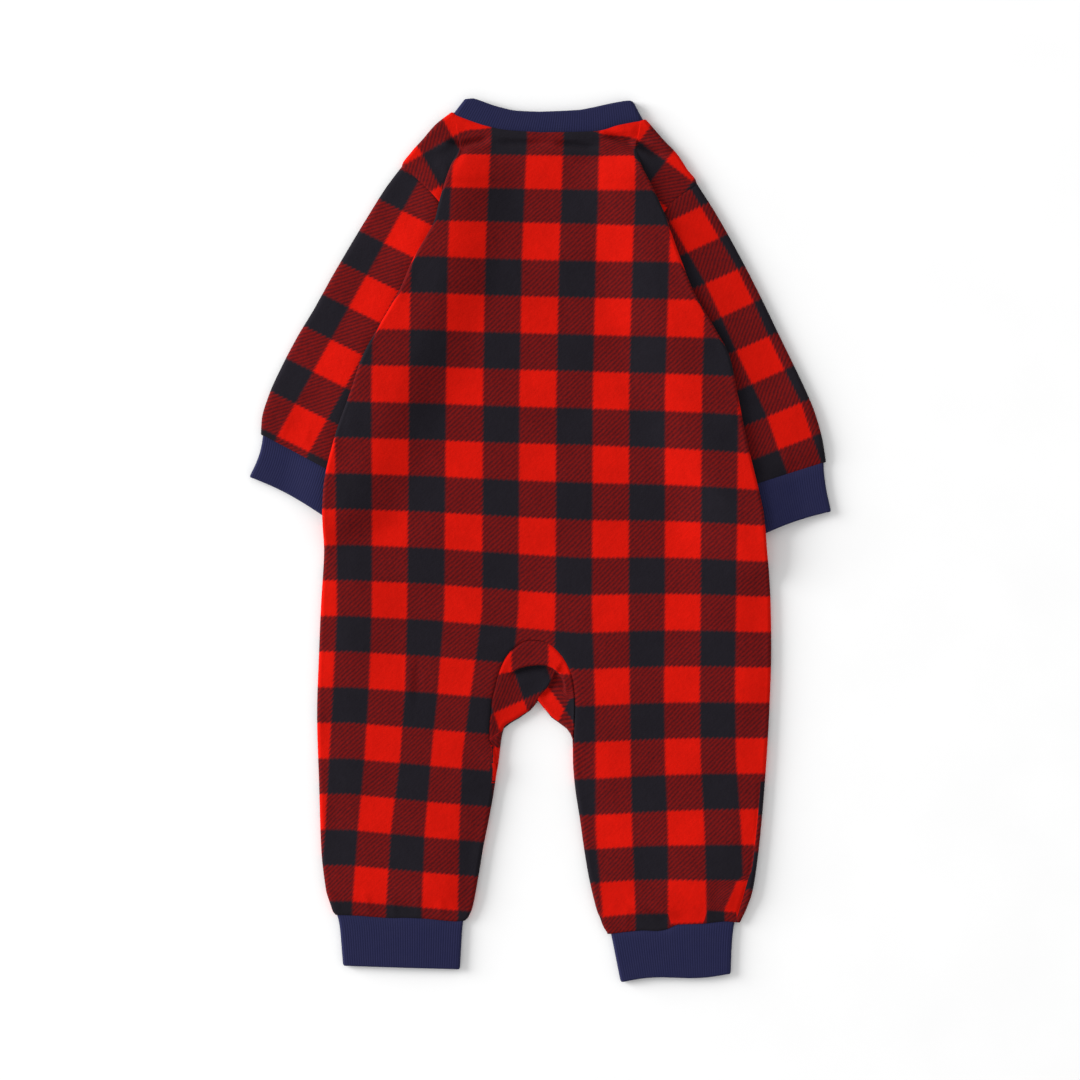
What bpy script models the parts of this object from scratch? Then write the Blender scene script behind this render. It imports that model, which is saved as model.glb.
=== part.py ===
"""Baby's long-sleeved one-piece pajama in fleece, laid flat on its front.

The garment lies on z = 0 with its back up. The neck points towards +Y, and the
wearer's left is at -X. Each side is worked out in its own distance from the
centre line, so the same functions serve left and right. At each side the body
folds in over the sleeve, on the back and on the front alike, and the sleeve
lies between the two folds. Lengths are in millimetres until a mesh is made.
"""
import math

import bmesh
import bpy

# ------------------------------------------------------------ driving dimensions
MM = 0.001                 # metres in a millimetre
FLEECE = 1.6               # thickness of the fleece
RIB = 1.8                  # thickness of the rib knit
GAP = 0.3                  # clearance between two pieces at a seam
BAND_GAP = 0.5             # clearance of neck band and gusset along their curved seams
CURL_GAP = 0.75            # clearance between two curled edges, in the middle of the cloth
LAYER = 2.3                # height from one layer of a fold to the next
BEND = LAYER / 2           # radius of a folded edge, in the middle of the cloth
FLOOR = FLEECE / 2         # middle of the layer that lies on the surface
SIDE_TOP = 5.2             # middle of the back beside a sewn side
CROWN = 6.3                # middle of the back in the middle of body and legs
STACK_TOP = FLOOR + 5 * LAYER   # middle of the back over the folds and sleeve
STUB = 3.0                 # cloth left between a hidden fold and the armhole
FALL = 30.0                # distance over which a sleeve comes down off the folds
PUFF = 1.0                 # rise of a sleeve's back between its edges
SIDE_BEND = 1.82           # radius of a sewn side, in the middle of the cloth
INNER_RISE = 24.0          # distance over which a leg's back rises from its inseam
SEAM_SHIFT = 0.4           # the sleeve starts this far out and down from the armhole
HIDDEN_SHIFT = 0.5         # and this much further out where the armhole is hidden
ARMPIT_SHIFT = 0.5         # and this much more at the armpit
CUFF_TOP = 3.8             # middle of a cuff's upper layer beside its edges
CUFF_PUFF = 0.5            # rise of a cuff's upper layer between its edges
CUFF_PAIR = 2.4            # height between a cuff's layers where it is folded in
CUFF_BEND = 1.45           # radius of a cuff's outer side
CUFF_FOLD = 1.2            # radius of a cuff's inner side
BAND_SLANT = 0.8           # the neck band's side folds lean, so its bends narrow by this
SLEEVE_TO_CUFF = 0.93      # from this share of its length a sleeve comes down to its cuff
ANKLE_WAIST = 1.5          # the ankle cuffs draw in this much between seam and hem
ANKLE_TOP = 4.0            # middle of the back where it meets an ankle cuff
ANKLE_SPREAD = 0.6         # the curled edges part by this share more at the ankles
LAP = 11.0                 # each front reaches this far past the centre
LAP_UNDER = 1.1            # rise of the outer front over its snap caps
LAP_OVER = 3.2             # rise of the inner front over the outer one
LAP_FLAT = 16.0            # the lapped cloth is level this far from the centre
LAP_SLOPE = 12.0           # and comes down over this distance
LAP_END = -32.0            # the lap ends here, and a plain seam goes on below
LAP_CLOSE = 8.0            # length over which the lap narrows to the seam
SNAP_RADIUS = 5.0
SNAP_HEIGHT = 0.8
SNAP_SIDES = 12
SNAP_PLACES = (244.0, 206.0, 160.0, 114.0, 68.0, 22.0, -24.0)

NECK_SLANT = 1.9           # the fronts' neckline starts this far below the shoulder's end
CENTRE_DRIFT = 6.1         # the crotch lies this far left of the centre line
GUSSET_FLAP = 4.4          # middle of the gusset below its rolled fold
FLEECE_RED = (0.3, 0.012, 0.01)
RIB_NAVY = (0.022, 0.022, 0.09)
SNAP_RED = (0.25, 0.02, 0.02)

# Steps of points across half a panel, round a tube and along the bands
ARC_STEPS = 3
MAIN_STEPS = 3
WING_STEPS = 2
NEAR_COLUMNS = ((23.0, 0.06, 0.32), (37.0, 0.14, 0.5))   # reach, least and most share of the row
RING_ARC = 2
CUFF_FLAT = (0.2, 0.4, 0.6, 0.8)
SLEEVE_STEPS = 12
CUFF_STEPS = 3
BAND_BACK_STEPS = 7

# Rows of points down the body, as nominal heights
TOP_ROWS = (292.0, 285.0, 277.0)
BODY_ROWS = (
    268.4, 261.6, 255.1, 249.3, 243.8, 239.1, 237.0, 230.2, 222.0, 205.0, 187.0, 167.0,
    150.0, 136.6, 126.0, 108.0, 88.0, 68.0, 50.0, 33.0, 17.0, 5.0, -5.5, -17.0,
    -28.7, -46.0,
)
BACK_LEG_ROWS = (
    -68.3, -71.0, -76.5, -84.0, -95.0, -112.0, -136.0, -153.0, -170.8, -190.0,
    -210.0, -232.0, -243.0, -251.0, -258.0,
)
FRONT_LEG_ROWS = (
    -60.0, -85.0, -110.0, -116.1, -121.0, -128.4, -136.0, -153.0, -170.8, -190.0,
    -210.0, -232.0, -243.0, -251.0, -258.0,
)
BAND_FRONT_ROWS = (237.0, 239.1, 243.8, 249.3, 255.1, 261.6, 268.4, 276.6, 283.0)
FRONT_NECK_BASE = 237.0    # the fronts' neckline is lowest here
NECK_BASE = 268.4          # rows above this bend to follow the neck seam
ANKLE_BASE = -232.0        # rows below this bend to follow the ankle seam


# -------------------------------------------------------------- curves and tables
class Curve:
    """A smooth curve through a few points that never swings past them."""

    def __init__(self, pairs):
        self.at, self.value = zip(*sorted(pairs))
        steps = [
            (self.value[i + 1] - self.value[i]) / (self.at[i + 1] - self.at[i])
            for i in range(len(self.at) - 1)
        ]
        inner = [
            0.0 if a * b <= 0 else 2 * a * b / (a + b)
            for a, b in zip(steps, steps[1:])
        ]
        self.slope = [steps[0]] + inner + [steps[-1]]

    def __call__(self, x):
        if x <= self.at[0]:
            return self.value[0]
        if x >= self.at[-1]:
            return self.value[-1]
        i = max(k for k in range(len(self.at) - 1) if self.at[k] <= x)
        span = self.at[i + 1] - self.at[i]
        t = (x - self.at[i]) / span
        start = (2 * t**3 - 3 * t**2 + 1) * self.value[i]
        start += (t**3 - 2 * t**2 + t) * span * self.slope[i]
        end = (3 * t**2 - 2 * t**3) * self.value[i + 1]
        end += (t**3 - t**2) * span * self.slope[i + 1]
        return start + end


def curves(names, rows):
    """One curve per named column, each against the table's first column."""
    return {
        name: Curve([(row[0], row[k + 1]) for row in rows])
        for k, name in enumerate(names)
    }


def mix(a, b, t):
    return a + (b - a) * t


def smooth(t):
    t = min(1.0, max(0.0, t))
    return t * t * (3 - 2 * t)


# Body outline: y, then the distance of the visible edge from the centre
BODY = curves(("left", "right"), [
    (292.0, 58.4, 70.1), (280.0, 57.2, 68.4), (268.4, 55.3, 66.3), (255.1, 61.0, 69.5), (243.8, 65.0, 75.2),
    (230.2, 69.0, 81.6), (218.6, 71.7, 86.7), (204.9, 78.9, 91.2), (189.9, 87.4, 96.6),
    (169.4, 96.3, 104.8), (145.5, 110.0, 118.5), (125.0, 121.2, 129.4), (99.0, 130.1, 134.9),
    (68.3, 140.7, 141.0), (34.2, 147.9, 149.2), (17.8, 148.6, 152.7), (-5.5, 147.5, 154.8),
    (-44.4, 149.6, 157.4), (-75.1, 150.9, 157.8), (-120.0, 152.3, 156.3),
    (-167.3, 150.9, 153.3), (-208.3, 149.6, 149.6), (-239.1, 146.2, 144.8),
    (-249.3, 142.7, 140.9), (-258.0, 138.6, 135.9), (-262.0, 138.0, 133.9),
])

# Side folds: y, how far the fold is closed (0 open, 1 flat), straight width of the
# hidden layer, and how much of the sleeve's height is under the back
FOLD = {
    "left": curves(("closed", "width", "stack"), [
        (268.4, 0.0, 0.0, 0.0), (261.6, 0.35, 0.3, 0.0), (255.1, 0.6, 0.6, 0.0),
        (249.3, 0.8, 0.8, 0.0), (243.8, 1.0, 0.9, 1.0), (230.2, 1.0, 1.1, 1.0),
        (218.6, 1.0, 3.7, 1.0), (204.9, 1.0, 7.2, 1.0), (189.9, 1.0, 10.7, 1.0),
        (169.4, 1.0, 15.7, 1.0), (145.5, 1.0, 21.7, 1.0), (136.6, 1.0, 23.7, 1.0),
        (125.0, 1.0, 26.0, 1.0), (99.0, 1.0, 23.5, 1.0), (68.3, 1.0, 17.7, 1.0),
        (34.2, 1.0, 9.5, 1.0), (17.0, 1.0, 3.2, 0.95), (5.0, 0.6, 0.8, 0.6),
        (-5.5, 0.0, 0.0, 0.0),
    ]),
    "right": curves(("closed", "width", "stack"), [
        (268.4, 0.0, 0.0, 0.0), (261.6, 0.35, 0.3, 0.0), (255.1, 0.6, 0.6, 0.0),
        (249.3, 0.8, 0.8, 0.0), (243.8, 1.0, 0.9, 1.0), (230.2, 1.0, 1.1, 1.0),
        (218.6, 1.0, 2.5, 1.0), (204.9, 1.0, 6.0, 1.0), (189.9, 1.0, 10.0, 1.0),
        (169.4, 1.0, 15.7, 1.0), (145.5, 1.0, 21.7, 1.0), (136.6, 1.0, 23.2, 1.0), (125.0, 1.0, 26.5, 1.0),
        (99.0, 1.0, 24.7, 1.0), (68.3, 1.0, 20.2, 1.0), (34.2, 1.0, 16.2, 1.0),
        (17.0, 1.0, 14.7, 1.0), (5.0, 1.0, 12.8, 1.0), (-5.5, 1.0, 8.7, 0.9),
        (-17.0, 0.6, 1.0, 0.6), (-28.7, 0.0, 0.0, 0.0),
    ]),
}

# Shoulder seam and the armhole seam as far as it shows: y, distance from the centre
WING = {
    "left": Curve([
        (292.0, 60.8), (283.4, 71.0), (273.9, 79.2), (264.7, 87.4), (255.1, 93.6),
        (250.7, 88.8), (245.9, 83.7), (237.7, 75.1), (230.2, 68.6),
    ]),
    "right": Curve([
        (287.2, 72.4), (283.4, 75.8), (273.2, 84.7), (263.0, 94.3), (252.7, 101.1),
        (243.8, 107.2), (236.3, 97.7), (229.5, 89.2), (222.0, 84.2),
    ]),
}
CORNER_Y = {"left": 292.0, "right": 287.2}         # neck end of the shoulder seam
SHOULDER_END = {"left": 255.1, "right": 243.8}     # where the shoulder seam meets the sleeve
WING_END = {"left": 230.2, "right": 222.0}         # below this the armhole is hidden
ARMPIT = 136.6

# Neck seam of the back: distance from the centre, y
NECK = {
    "left": Curve([(0.0, 278.6), (22.5, 280.2), (35.5, 282.8), (52.6, 288.6), (60.8, 292.0)]),
    "right": Curve([(0.0, 278.6), (16.7, 278.8), (37.6, 279.6), (56.0, 284.1), (72.4, 287.2)]),
}
# Neckline of the fronts, which is lower: y, distance from the centre
FRONT_NECK = {
    "left": Curve([(291.0, 57.0), (276.6, 54.5), (259.5, 47.8), (245.9, 32.8), (239.1, 13.7),
                   (237.0, -LAP)]),
    "right": Curve([(286.0, 68.0), (276.6, 64.5), (259.5, 55.0), (245.9, 38.0), (239.1, 17.0),
                    (237.0, -LAP)]),
}

# Inner edges of the legs: y, distance from the centre on the left and on the right
BACK_INNER = curves(("left", "right"), [
    (-68.3, 6.1, -6.1), (-71.0, 13.7, 6.1), (-76.5, 20.5, 12.3), (-84.0, 25.3, 17.8),
    (-95.0, 29.4, 21.9), (-112.0, 33.2, 23.8), (-136.0, 34.8, 23.2), (-140.5, 32.2, 23.0),
    (-153.0, 31.4, 23.0), (-170.8, 31.8, 24.6), (-190.0, 35.2, 27.6), (-210.0, 39.2, 30.4),
    (-228.8, 42.3, 33.5), (-249.3, 46.4, 38.2), (-258.2, 51.9, 42.0), (-268.0, 53.0, 47.8),
])
FRONT_INNER = curves(("left", "right"), [
    (-110.0, 1.4, -1.4), (-116.1, 6.8, 4.1), (-121.0, 14.0, 8.2), (-128.4, 25.3, 17.8),
    (-136.0, 26.8, 22.4), (-153.0, 28.0, 23.0), (-170.8, 31.8, 24.6), (-190.0, 35.2, 27.6),
    (-210.0, 39.2, 30.4), (-228.8, 42.3, 33.5), (-249.3, 46.4, 38.2), (-258.2, 51.9, 42.0),
    (-268.0, 53.0, 47.8),
])
GUSSET_END = {"left": -153.0, "right": -136.0}
SPLIT = {"back": -68.3, "front": -110.0}

# Sleeves: outer edge as y, distance; the other corners as (distance, y)
SLEEVE_OUTER = {
    "left": Curve([(255.1, 93.6), (242.5, 103.8), (222.0, 116.8), (181.0, 141.4), (140.0, 165.3),
                   (119.5, 175.5), (99.0, 185.1), (82.0, 189.6), (72.1, 190.2)]),
    "right": Curve([(243.8, 107.2), (222.0, 120.9), (181.0, 142.7), (140.0, 163.2), (99.0, 182.4),
                    (88.8, 187.0), (68.3, 191.9), (53.3, 194.5)]),
}
WRIST_INNER = {"left": (135.9, 43.0), "right": (133.9, 33.5)}
WRIST_HEM = {
    "left": ((198.3, 43.7), (146.2, 16.4)),
    "right": ((198.3, 20.0), (142.7, 0.4)),
}
# Ankles: seam and hem, each as (outer distance, y), (inner distance, y)
ANKLE_SEAM = {
    "left": ((138.6, -256.4), (52.7, -260.2)),
    "right": ((133.4, -261.6), (48.2, -269.5)),
}
ANKLE_HEM = {
    "left": ((134.5, -291.3), (54.8, -291.2)),
    "right": ((130.2, -296.5), (55.5, -301.6)),
}

# Neck band at its side folds, as (distance, y) of the seam and of the free edge
BAND_FOLD = {
    "left": ((59.0, 291.9), (51.2, 301.1)),
    "right": ((70.3, 287.3), (63.5, 299.0)),
}
# Free edge of the band over the back: distance, y
BAND_BACK_EDGE = {
    "left": Curve([(0.0, 291.9), (14.6, 292.5), (30.3, 295.8), (41.0, 299.8), (46.0, 301.3),
                   (51.2, 301.1)]),
    "right": Curve([(0.0, 291.9), (26.0, 293.2), (34.8, 295.2), (50.5, 299.0), (61.2, 300.1),
                    (63.5, 299.0)]),
}
# Free edge of the band under the chin, against the y of its seam: distance, y
BAND_FRONT_EDGE = {
    "left": curves(("distance", "y"), [
        (237.0, -LAP, 250.7), (239.1, 11.0, 252.5), (243.8, 19.8, 254.8), (249.3, 27.2, 258.3),
        (255.1, 32.6, 262.7), (261.6, 36.7, 267.1), (268.4, 39.6, 272.6), (276.6, 43.0, 281.5),
        (284.0, 46.0, 291.0),
    ]),
    "right": curves(("distance", "y"), [
        (237.0, -LAP, 250.7), (239.1, 14.0, 252.5), (243.8, 24.0, 255.3), (249.3, 32.5, 259.5),
        (255.1, 39.5, 264.5), (261.6, 45.5, 270.0), (268.4, 50.0, 276.0), (276.6, 54.5, 284.0),
        (284.0, 58.5, 291.5),
    ]),
}

# Gusset: side, y on the back's edge, y on the front's edge, how far its fold is rolled
GUSSET = (
    ("left", -153.0, -153.0, 0.0), ("left", -136.0, -137.0, 0.15), ("left", -112.0, -127.0, 0.55),
    ("left", -95.0, -122.5, 0.85), ("left", -84.0, -120.0, 1.0), ("left", -76.5, -117.0, 1.0),
    ("left", -71.0, -113.5, 1.0), ("left", -68.3, -110.0, 1.0), ("right", -71.0, -115.0, 1.0),
    ("right", -76.5, -119.0, 1.0), ("right", -84.0, -122.5, 0.95), ("right", -95.0, -126.5, 0.8),
    ("right", -112.0, -130.5, 0.4), ("right", -129.0, -135.0, 0.0),
)
# Across the gusset: share of the way to the front's edge, share of the step down
GUSSET_PROFILE = (
    (0.0, 0.0), (0.2, 0.0), (0.36, 0.05), (0.42, 0.35), (0.47, 0.9), (0.6, 1.0), (1.0, 1.0),
)

SIGN = {"left": -1, "right": 1}
SIDES = ("left", "right")


# ----------------------------------------------------------------- sheets of cloth
class Sheet:
    """The middle surface of a cloth piece. Points that coincide are shared."""

    def __init__(self):
        self.points = []
        self.index = {}
        self.faces = []

    def add(self, point):
        key = tuple(round(c, 2) for c in point)
        if key not in self.index:
            self.index[key] = len(self.points)
            self.points.append(point)
        return self.index[key]

    def grid(self, rows, around=False):
        """Faces between neighbouring rows; corners that coincide are dropped."""
        numbered = [[self.add(p) for p in row] for row in rows]
        for upper, lower in zip(numbered, numbered[1:]):
            if around:
                upper = upper + upper[:1]
                lower = lower + lower[:1]
            for k in range(len(upper) - 1):
                corners = [upper[k], lower[k], lower[k + 1], upper[k + 1]]
                ring = [c for i, c in enumerate(corners) if c != corners[i - 1]]
                if len(set(ring)) > 2:
                    self.faces.append(ring)


def cloth_object(name, sheet, thickness, colour, roughness):
    """A closed solid of even thickness about the sheet, with its own material."""
    mesh = bpy.data.meshes.new(name)
    mesh.from_pydata([tuple(c * MM for c in p) for p in sheet.points], [], sheet.faces)
    work = bmesh.new()
    work.from_mesh(mesh)
    bmesh.ops.recalc_face_normals(work, faces=work.faces)
    bmesh.ops.triangulate(work, faces=work.faces)
    work.to_mesh(mesh)
    work.free()
    mesh.shade_smooth()
    piece = bpy.data.objects.new(name, mesh)
    bpy.context.scene.collection.objects.link(piece)
    wall = piece.modifiers.new("wall", "SOLIDIFY")
    wall.thickness = thickness * MM
    wall.offset = 0.0
    wall.use_rim = True
    wall.use_quality_normals = True
    mesh.materials.append(cloth_material(name, colour, roughness))
    return piece


def cloth_material(name, colour, roughness):
    material = bpy.data.materials.new(name)
    material.use_nodes = True
    shader = material.node_tree.nodes["Principled BSDF"]
    shader.inputs["Base Color"].default_value = (*colour, 1.0)
    shader.inputs["Roughness"].default_value = roughness
    shader.inputs["Metallic"].default_value = 0.0
    return material


# ------------------------------------------------------------- heights of the cloth
def fold_drop(side, y):
    """How far the cloth steps from the body's edge down to the layer that goes on."""
    closed = FOLD[side]["closed"](y)
    width = FOLD[side]["width"](y)
    turn = math.pi * closed
    return 2 * BEND * (1 - math.cos(turn)) + width * math.sin(turn)


def lift(side, y):
    """How much a sleeve is raised at the body's edge, in pairs of layers."""
    if y < ARMPIT:
        return 1.0
    return fold_drop(side, y) / (2 * LAYER)


def lift_at(side, u, y):
    away = max(0.0, u - BODY[side](y))
    return lift(side, y) * (1 - smooth(away / FALL))


def low(side, u, y):
    """Middle of the sleeve's lower layer, and of the front outside its fold."""
    return FLOOR + 2 * LAYER * lift_at(side, u, y)


def high(side, u, y):
    """Middle of the sleeve's upper layer, and of the back outside its fold."""
    apart = mix(SIDE_TOP - FLOOR, LAYER, min(1.0, lift_at(side, u, y)))
    return low(side, u, y) + apart


def at_ankle(y):
    """How far the cloth has come down to the height of the ankle cuffs."""
    return smooth((ANKLE_BASE - 8.0 - y) / 18.0)


def plain_top(y):
    """Middle of the back beside a seam with nothing but the front under it."""
    return mix(SIDE_TOP, ANKLE_TOP, at_ankle(y))


def edge_top(side, y):
    """Middle of the back where it reaches the body's visible edge."""
    if y >= ARMPIT:
        return high(side, BODY[side](y), y) + fold_drop(side, y)
    return mix(plain_top(y), STACK_TOP, FOLD[side]["stack"](y))


def crown_top(row):
    neck = mix(CROWN, SIDE_TOP, smooth((row - 240.0) / 38.0))
    return mix(neck, ANKLE_TOP + CUFF_PUFF, at_ankle(row))


def tuck(side, y):
    """Distance from the visible edge in to the hidden fold."""
    closed = FOLD[side]["closed"](y)
    return closed * (FOLD[side]["width"](y) + 2 * BEND)


def back_level(side, u, row, y):
    """Middle of the back between the centre and its outer edge."""
    top = edge_top(side, y)
    stacked = smooth((top - SIDE_TOP) / (STACK_TOP - SIDE_TOP))
    inside = BODY[side](y) - FLEECE / 2 - u - stacked * (tuck(side, y) + 3.0)
    return mix(top, crown_top(row), smooth(inside / mix(24.0, 46.0, stacked)))


def lap_rise(side, u, y):
    """Rise of a front, or of the band, where the two sides lap."""
    full = LAP_UNDER if side == "left" else LAP_OVER
    along = smooth((y - (LAP_END - 26.0)) / 14.0)
    return full * along * (1 - smooth((u - LAP_FLAT) / LAP_SLOPE))


# -------------------------------------------------------------------- body panels
def armhole(side, y):
    """Distance of the armhole or shoulder seam from the centre."""
    if y >= WING_END[side]:
        return WING[side](y)
    return BODY[side](y) - FLEECE / 2 - tuck(side, y) + STUB


def armhole_line(side, y):
    """The armhole seam as the panels have it, straight from row to row."""
    rows = [row for row in BODY_ROWS if row >= ARMPIT]
    above = min(row for row in rows if row >= y - 1e-6)
    below = max([row for row in rows if row <= y + 1e-6] or [ARMPIT])
    share = 0.0 if above == below else (above - y) / (above - below)
    return mix(armhole(side, above), armhole(side, below), share)


def curl_gap(y):
    """Clearance between the curled edges of back and front, wider at the ankles."""
    return CURL_GAP * (1 + ANKLE_SPREAD * at_ankle(y))


def curl_radius(top, y):
    """Radius of the curls of back and front where they meet, under a back of this height."""
    return (top - FLOOR - curl_gap(y)) / 2


def row_heights(side, row):
    """The row's own heights at its inner and outer ends."""
    if row > NECK_BASE:
        t = (row - NECK_BASE) / (TOP_ROWS[0] - NECK_BASE)
        corner = CORNER_Y[side]
        return mix(NECK_BASE, corner - NECK_SLANT, t), mix(NECK_BASE, corner, t)
    if row < ANKLE_BASE:
        t = (ANKLE_BASE - row) / (ANKLE_BASE - BACK_LEG_ROWS[-1])
        outer, inner = ANKLE_SEAM[side]
        return mix(ANKLE_BASE, inner[1] + GAP, t), mix(ANKLE_BASE, outer[1] + GAP, t)
    return row, row


def turn_arc(start, radius, begin, end):
    """Arc from one heading to another, in radians below outward, as (distance, drop)."""
    u, drop = start
    bend = radius if end > begin else -radius
    points = []
    for k in range(1, ARC_STEPS + 1):
        heading = mix(begin, end, k / ARC_STEPS)
        points.append((u + bend * (math.sin(heading) - math.sin(begin)),
                       drop + bend * (math.cos(begin) - math.cos(heading))))
    return points


def fold_profile(side, y, side_half):
    """The side of a panel as (distance, drop) pairs, from the main part outwards.

    The cloth turns under at the visible edge, runs back inside, and turns again:
    outwards to the armhole above the armpit, or down to the side seam below it.
    """
    closed = FOLD[side]["closed"](y)
    width = FOLD[side]["width"](y)
    if y >= ARMPIT:
        first, last, radius = math.pi * closed, 0.0, BEND
    else:
        first, last = math.pi / 2 * (1 + closed), math.pi / 2
        radius = mix(min(side_half, SIDE_BEND), BEND, smooth(closed * 2))
    reach = radius * math.sin(min(first, math.pi / 2))
    profile = [(BODY[side](y) - FLEECE / 2 - reach, 0.0)]
    profile += turn_arc(profile[-1], radius, 0.0, first)
    u, drop = profile[-1]
    profile.append((u + width * math.cos(first), drop + width * math.sin(first)))
    profile += turn_arc(profile[-1], radius, first, last)
    return profile


def inner_edge(kind, side, row, y):
    """Distance of a panel's inner edge from the centre, and how that edge ends."""
    if kind == "back":
        if row >= SPLIT["back"]:
            drift = CENTRE_DRIFT * smooth((60.0 - row) / (60.0 - SPLIT["back"]))
            return (drift if side == "left" else -drift), "shared"
        inner = BACK_INNER[side](y)
        if row < GUSSET_END[side]:
            return inner + FLEECE / 2, "curled"
        return inner + GAP / 2, "cut"
    if row < SPLIT["front"]:
        return FRONT_INNER[side](y) + FLEECE / 2, "curled"
    if row > FRONT_NECK_BASE:
        return FRONT_NECK[side](y), "cut"
    if row == SPLIT["front"]:
        return GAP * 2, "cut"
    return mix(GAP / 2, -LAP, smooth((row - (LAP_END - LAP_CLOSE)) / LAP_CLOSE)), "cut"


def panel_row(kind, side, row):
    """One row of (x, y, z) points across half a panel, inner edge first."""
    sign = SIGN[side]
    is_back = kind == "back"
    step = -1 if is_back else 1
    y_in, y_out = row_heights(side, row)
    inner, edge_kind = inner_edge(kind, side, row, y_in)
    top = edge_top(side, y_out)
    fold = fold_profile(side, y_out, curl_radius(top, y_out))
    has_wing = y_out >= ARMPIT
    shoulder = y_out >= SHOULDER_END[side]
    seam = armhole(side, y_out) - (FLEECE / 2 if shoulder else 0.0)
    outline = seam if has_wing else BODY[side](y_out) - FLEECE / 2
    curl = curled_edge(inner, y_in) if edge_kind == "curled" else [(inner, 0.0)] * (ARC_STEPS + 1)
    start, end = curl[-1][0], fold[0][0]

    def row_y(u):
        if row > NECK_BASE and is_back:
            t = (row - NECK_BASE) / (TOP_ROWS[0] - NECK_BASE)
            corner = WING[side](CORNER_Y[side]) - FLEECE / 2
            return mix(NECK_BASE, NECK[side](max(0.0, u) * corner / outline), t)
        return mix(y_in, y_out, min(1.0, (u - inner) / (outline - inner)))

    def level(u):
        if not is_back:
            return FLOOR + lap_rise(side, u, row)
        if edge_kind == "shared":
            return back_level(side, u, row, y_out)
        inner_top = CROWN if edge_kind == "cut" else plain_top(y_in)
        return mix(inner_top, back_level(side, u, row, y_out), smooth((u - start) / INNER_RISE))

    def point(u, y, z):
        return sign * u, y, z

    span = end - start
    notch = start + LAP if not is_back and edge_kind == "cut" else 0.0
    near = [
        start + max(least * span, min(reach - notch, most * span))
        for reach, least, most in NEAR_COLUMNS
    ]
    main = near + [mix(near[-1], end, k / MAIN_STEPS) for k in range(1, MAIN_STEPS)]
    points = [point(u, row_y(u), level(start) + step * drop) for u, drop in curl]
    points += [point(u, row_y(u), level(u)) for u in main]
    edge_level = top if is_back else FLOOR
    points += [point(u, row_y(u), edge_level + step * drop) for u, drop in fold]
    u, drop = fold[-1]
    if has_wing:
        field = high if is_back else low
        bend = SIDE_BEND if shoulder else 0.0
        last = seam - bend
        for k in range(1, WING_STEPS + 1):
            v = mix(u, last, k / WING_STEPS)
            points.append(point(v, row_y(v), field(side, v, y_out)))
        for v, drop in turn_arc((last, 0.0), bend, 0.0, math.pi / 2):
            points.append(point(v, y_out, field(side, last, y_out) + step * drop))
        return points
    seam_z = (top + FLOOR - step * curl_gap(y_out) * (1 + FOLD[side]["closed"](y_out))) / 2
    for k in range(1, WING_STEPS + ARC_STEPS + 1):
        share = min(1.0, k / WING_STEPS)
        points.append(point(u, y_out, mix(edge_level + step * drop, seam_z, share)))
    return points


def curled_edge(inner, y):
    """Inseam edge of a leg: (distance, drop) from the seam up onto the panel."""
    radius = curl_radius(plain_top(y), y)
    angles = [math.pi / 2 * k / ARC_STEPS for k in range(ARC_STEPS + 1)]
    return [(inner + radius * (1 - math.cos(a)), radius * (1 - math.sin(a))) for a in angles]


def back_panel():
    sheet = Sheet()
    for side in SIDES:
        sheet.grid([panel_row("back", side, row) for row in TOP_ROWS + BODY_ROWS + BACK_LEG_ROWS])
    return sheet


def front_panel(side):
    sheet = Sheet()
    sheet.grid([panel_row("front", side, row) for row in TOP_ROWS + BODY_ROWS + FRONT_LEG_ROWS])
    return sheet


# ------------------------------------------------------------------- flat tubes
def flat_ring(side, place, width, levels, bends, inset, shares):
    """Points round a flattened tube: over its upper layer from the outer edge, then back below.

    place gives (distance, y) at a share of the width, levels gives the heights of
    the lower and upper layers there, and shares says where the flat part has points.
    """
    outer_bend, inner_bend = bends

    def point(distance, share):
        u, y = place(distance / width)
        bottom, top = levels(u, y, distance / width)
        return SIGN[side] * u, y, mix(bottom, top, (1 + share) / 2)

    flat = (inset + outer_bend, width - inset - inner_bend)
    angles = [math.pi / 2 * k / RING_ARC for k in range(1 - RING_ARC, RING_ARC)]
    ring = [point(inset + outer_bend * (1 - math.cos(a)), math.sin(a)) for a in angles]
    upper = [flat[0]] + [share * width for share in shares] + [flat[1]]
    ring += [point(d, 1.0) for d in upper]
    ring += [point(width - inset - inner_bend * (1 - math.cos(a)), math.sin(a)) for a in angles[::-1]]
    ring += [point(d, -1.0) for d in upper[::-1]]
    return ring


def cuff_levels(side, u, y, across, raised=True):
    """Heights of a cuff's lower and upper layers."""
    up = min(1.0, lift_at(side, u, y)) if raised else 0.0
    bottom = RIB / 2 + 2 * LAYER * up
    puff = CUFF_PUFF * math.sin(math.pi * min(1.0, max(0.0, across)))
    return bottom, bottom + mix(CUFF_TOP - RIB / 2 + puff, CUFF_PAIR, up)


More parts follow.
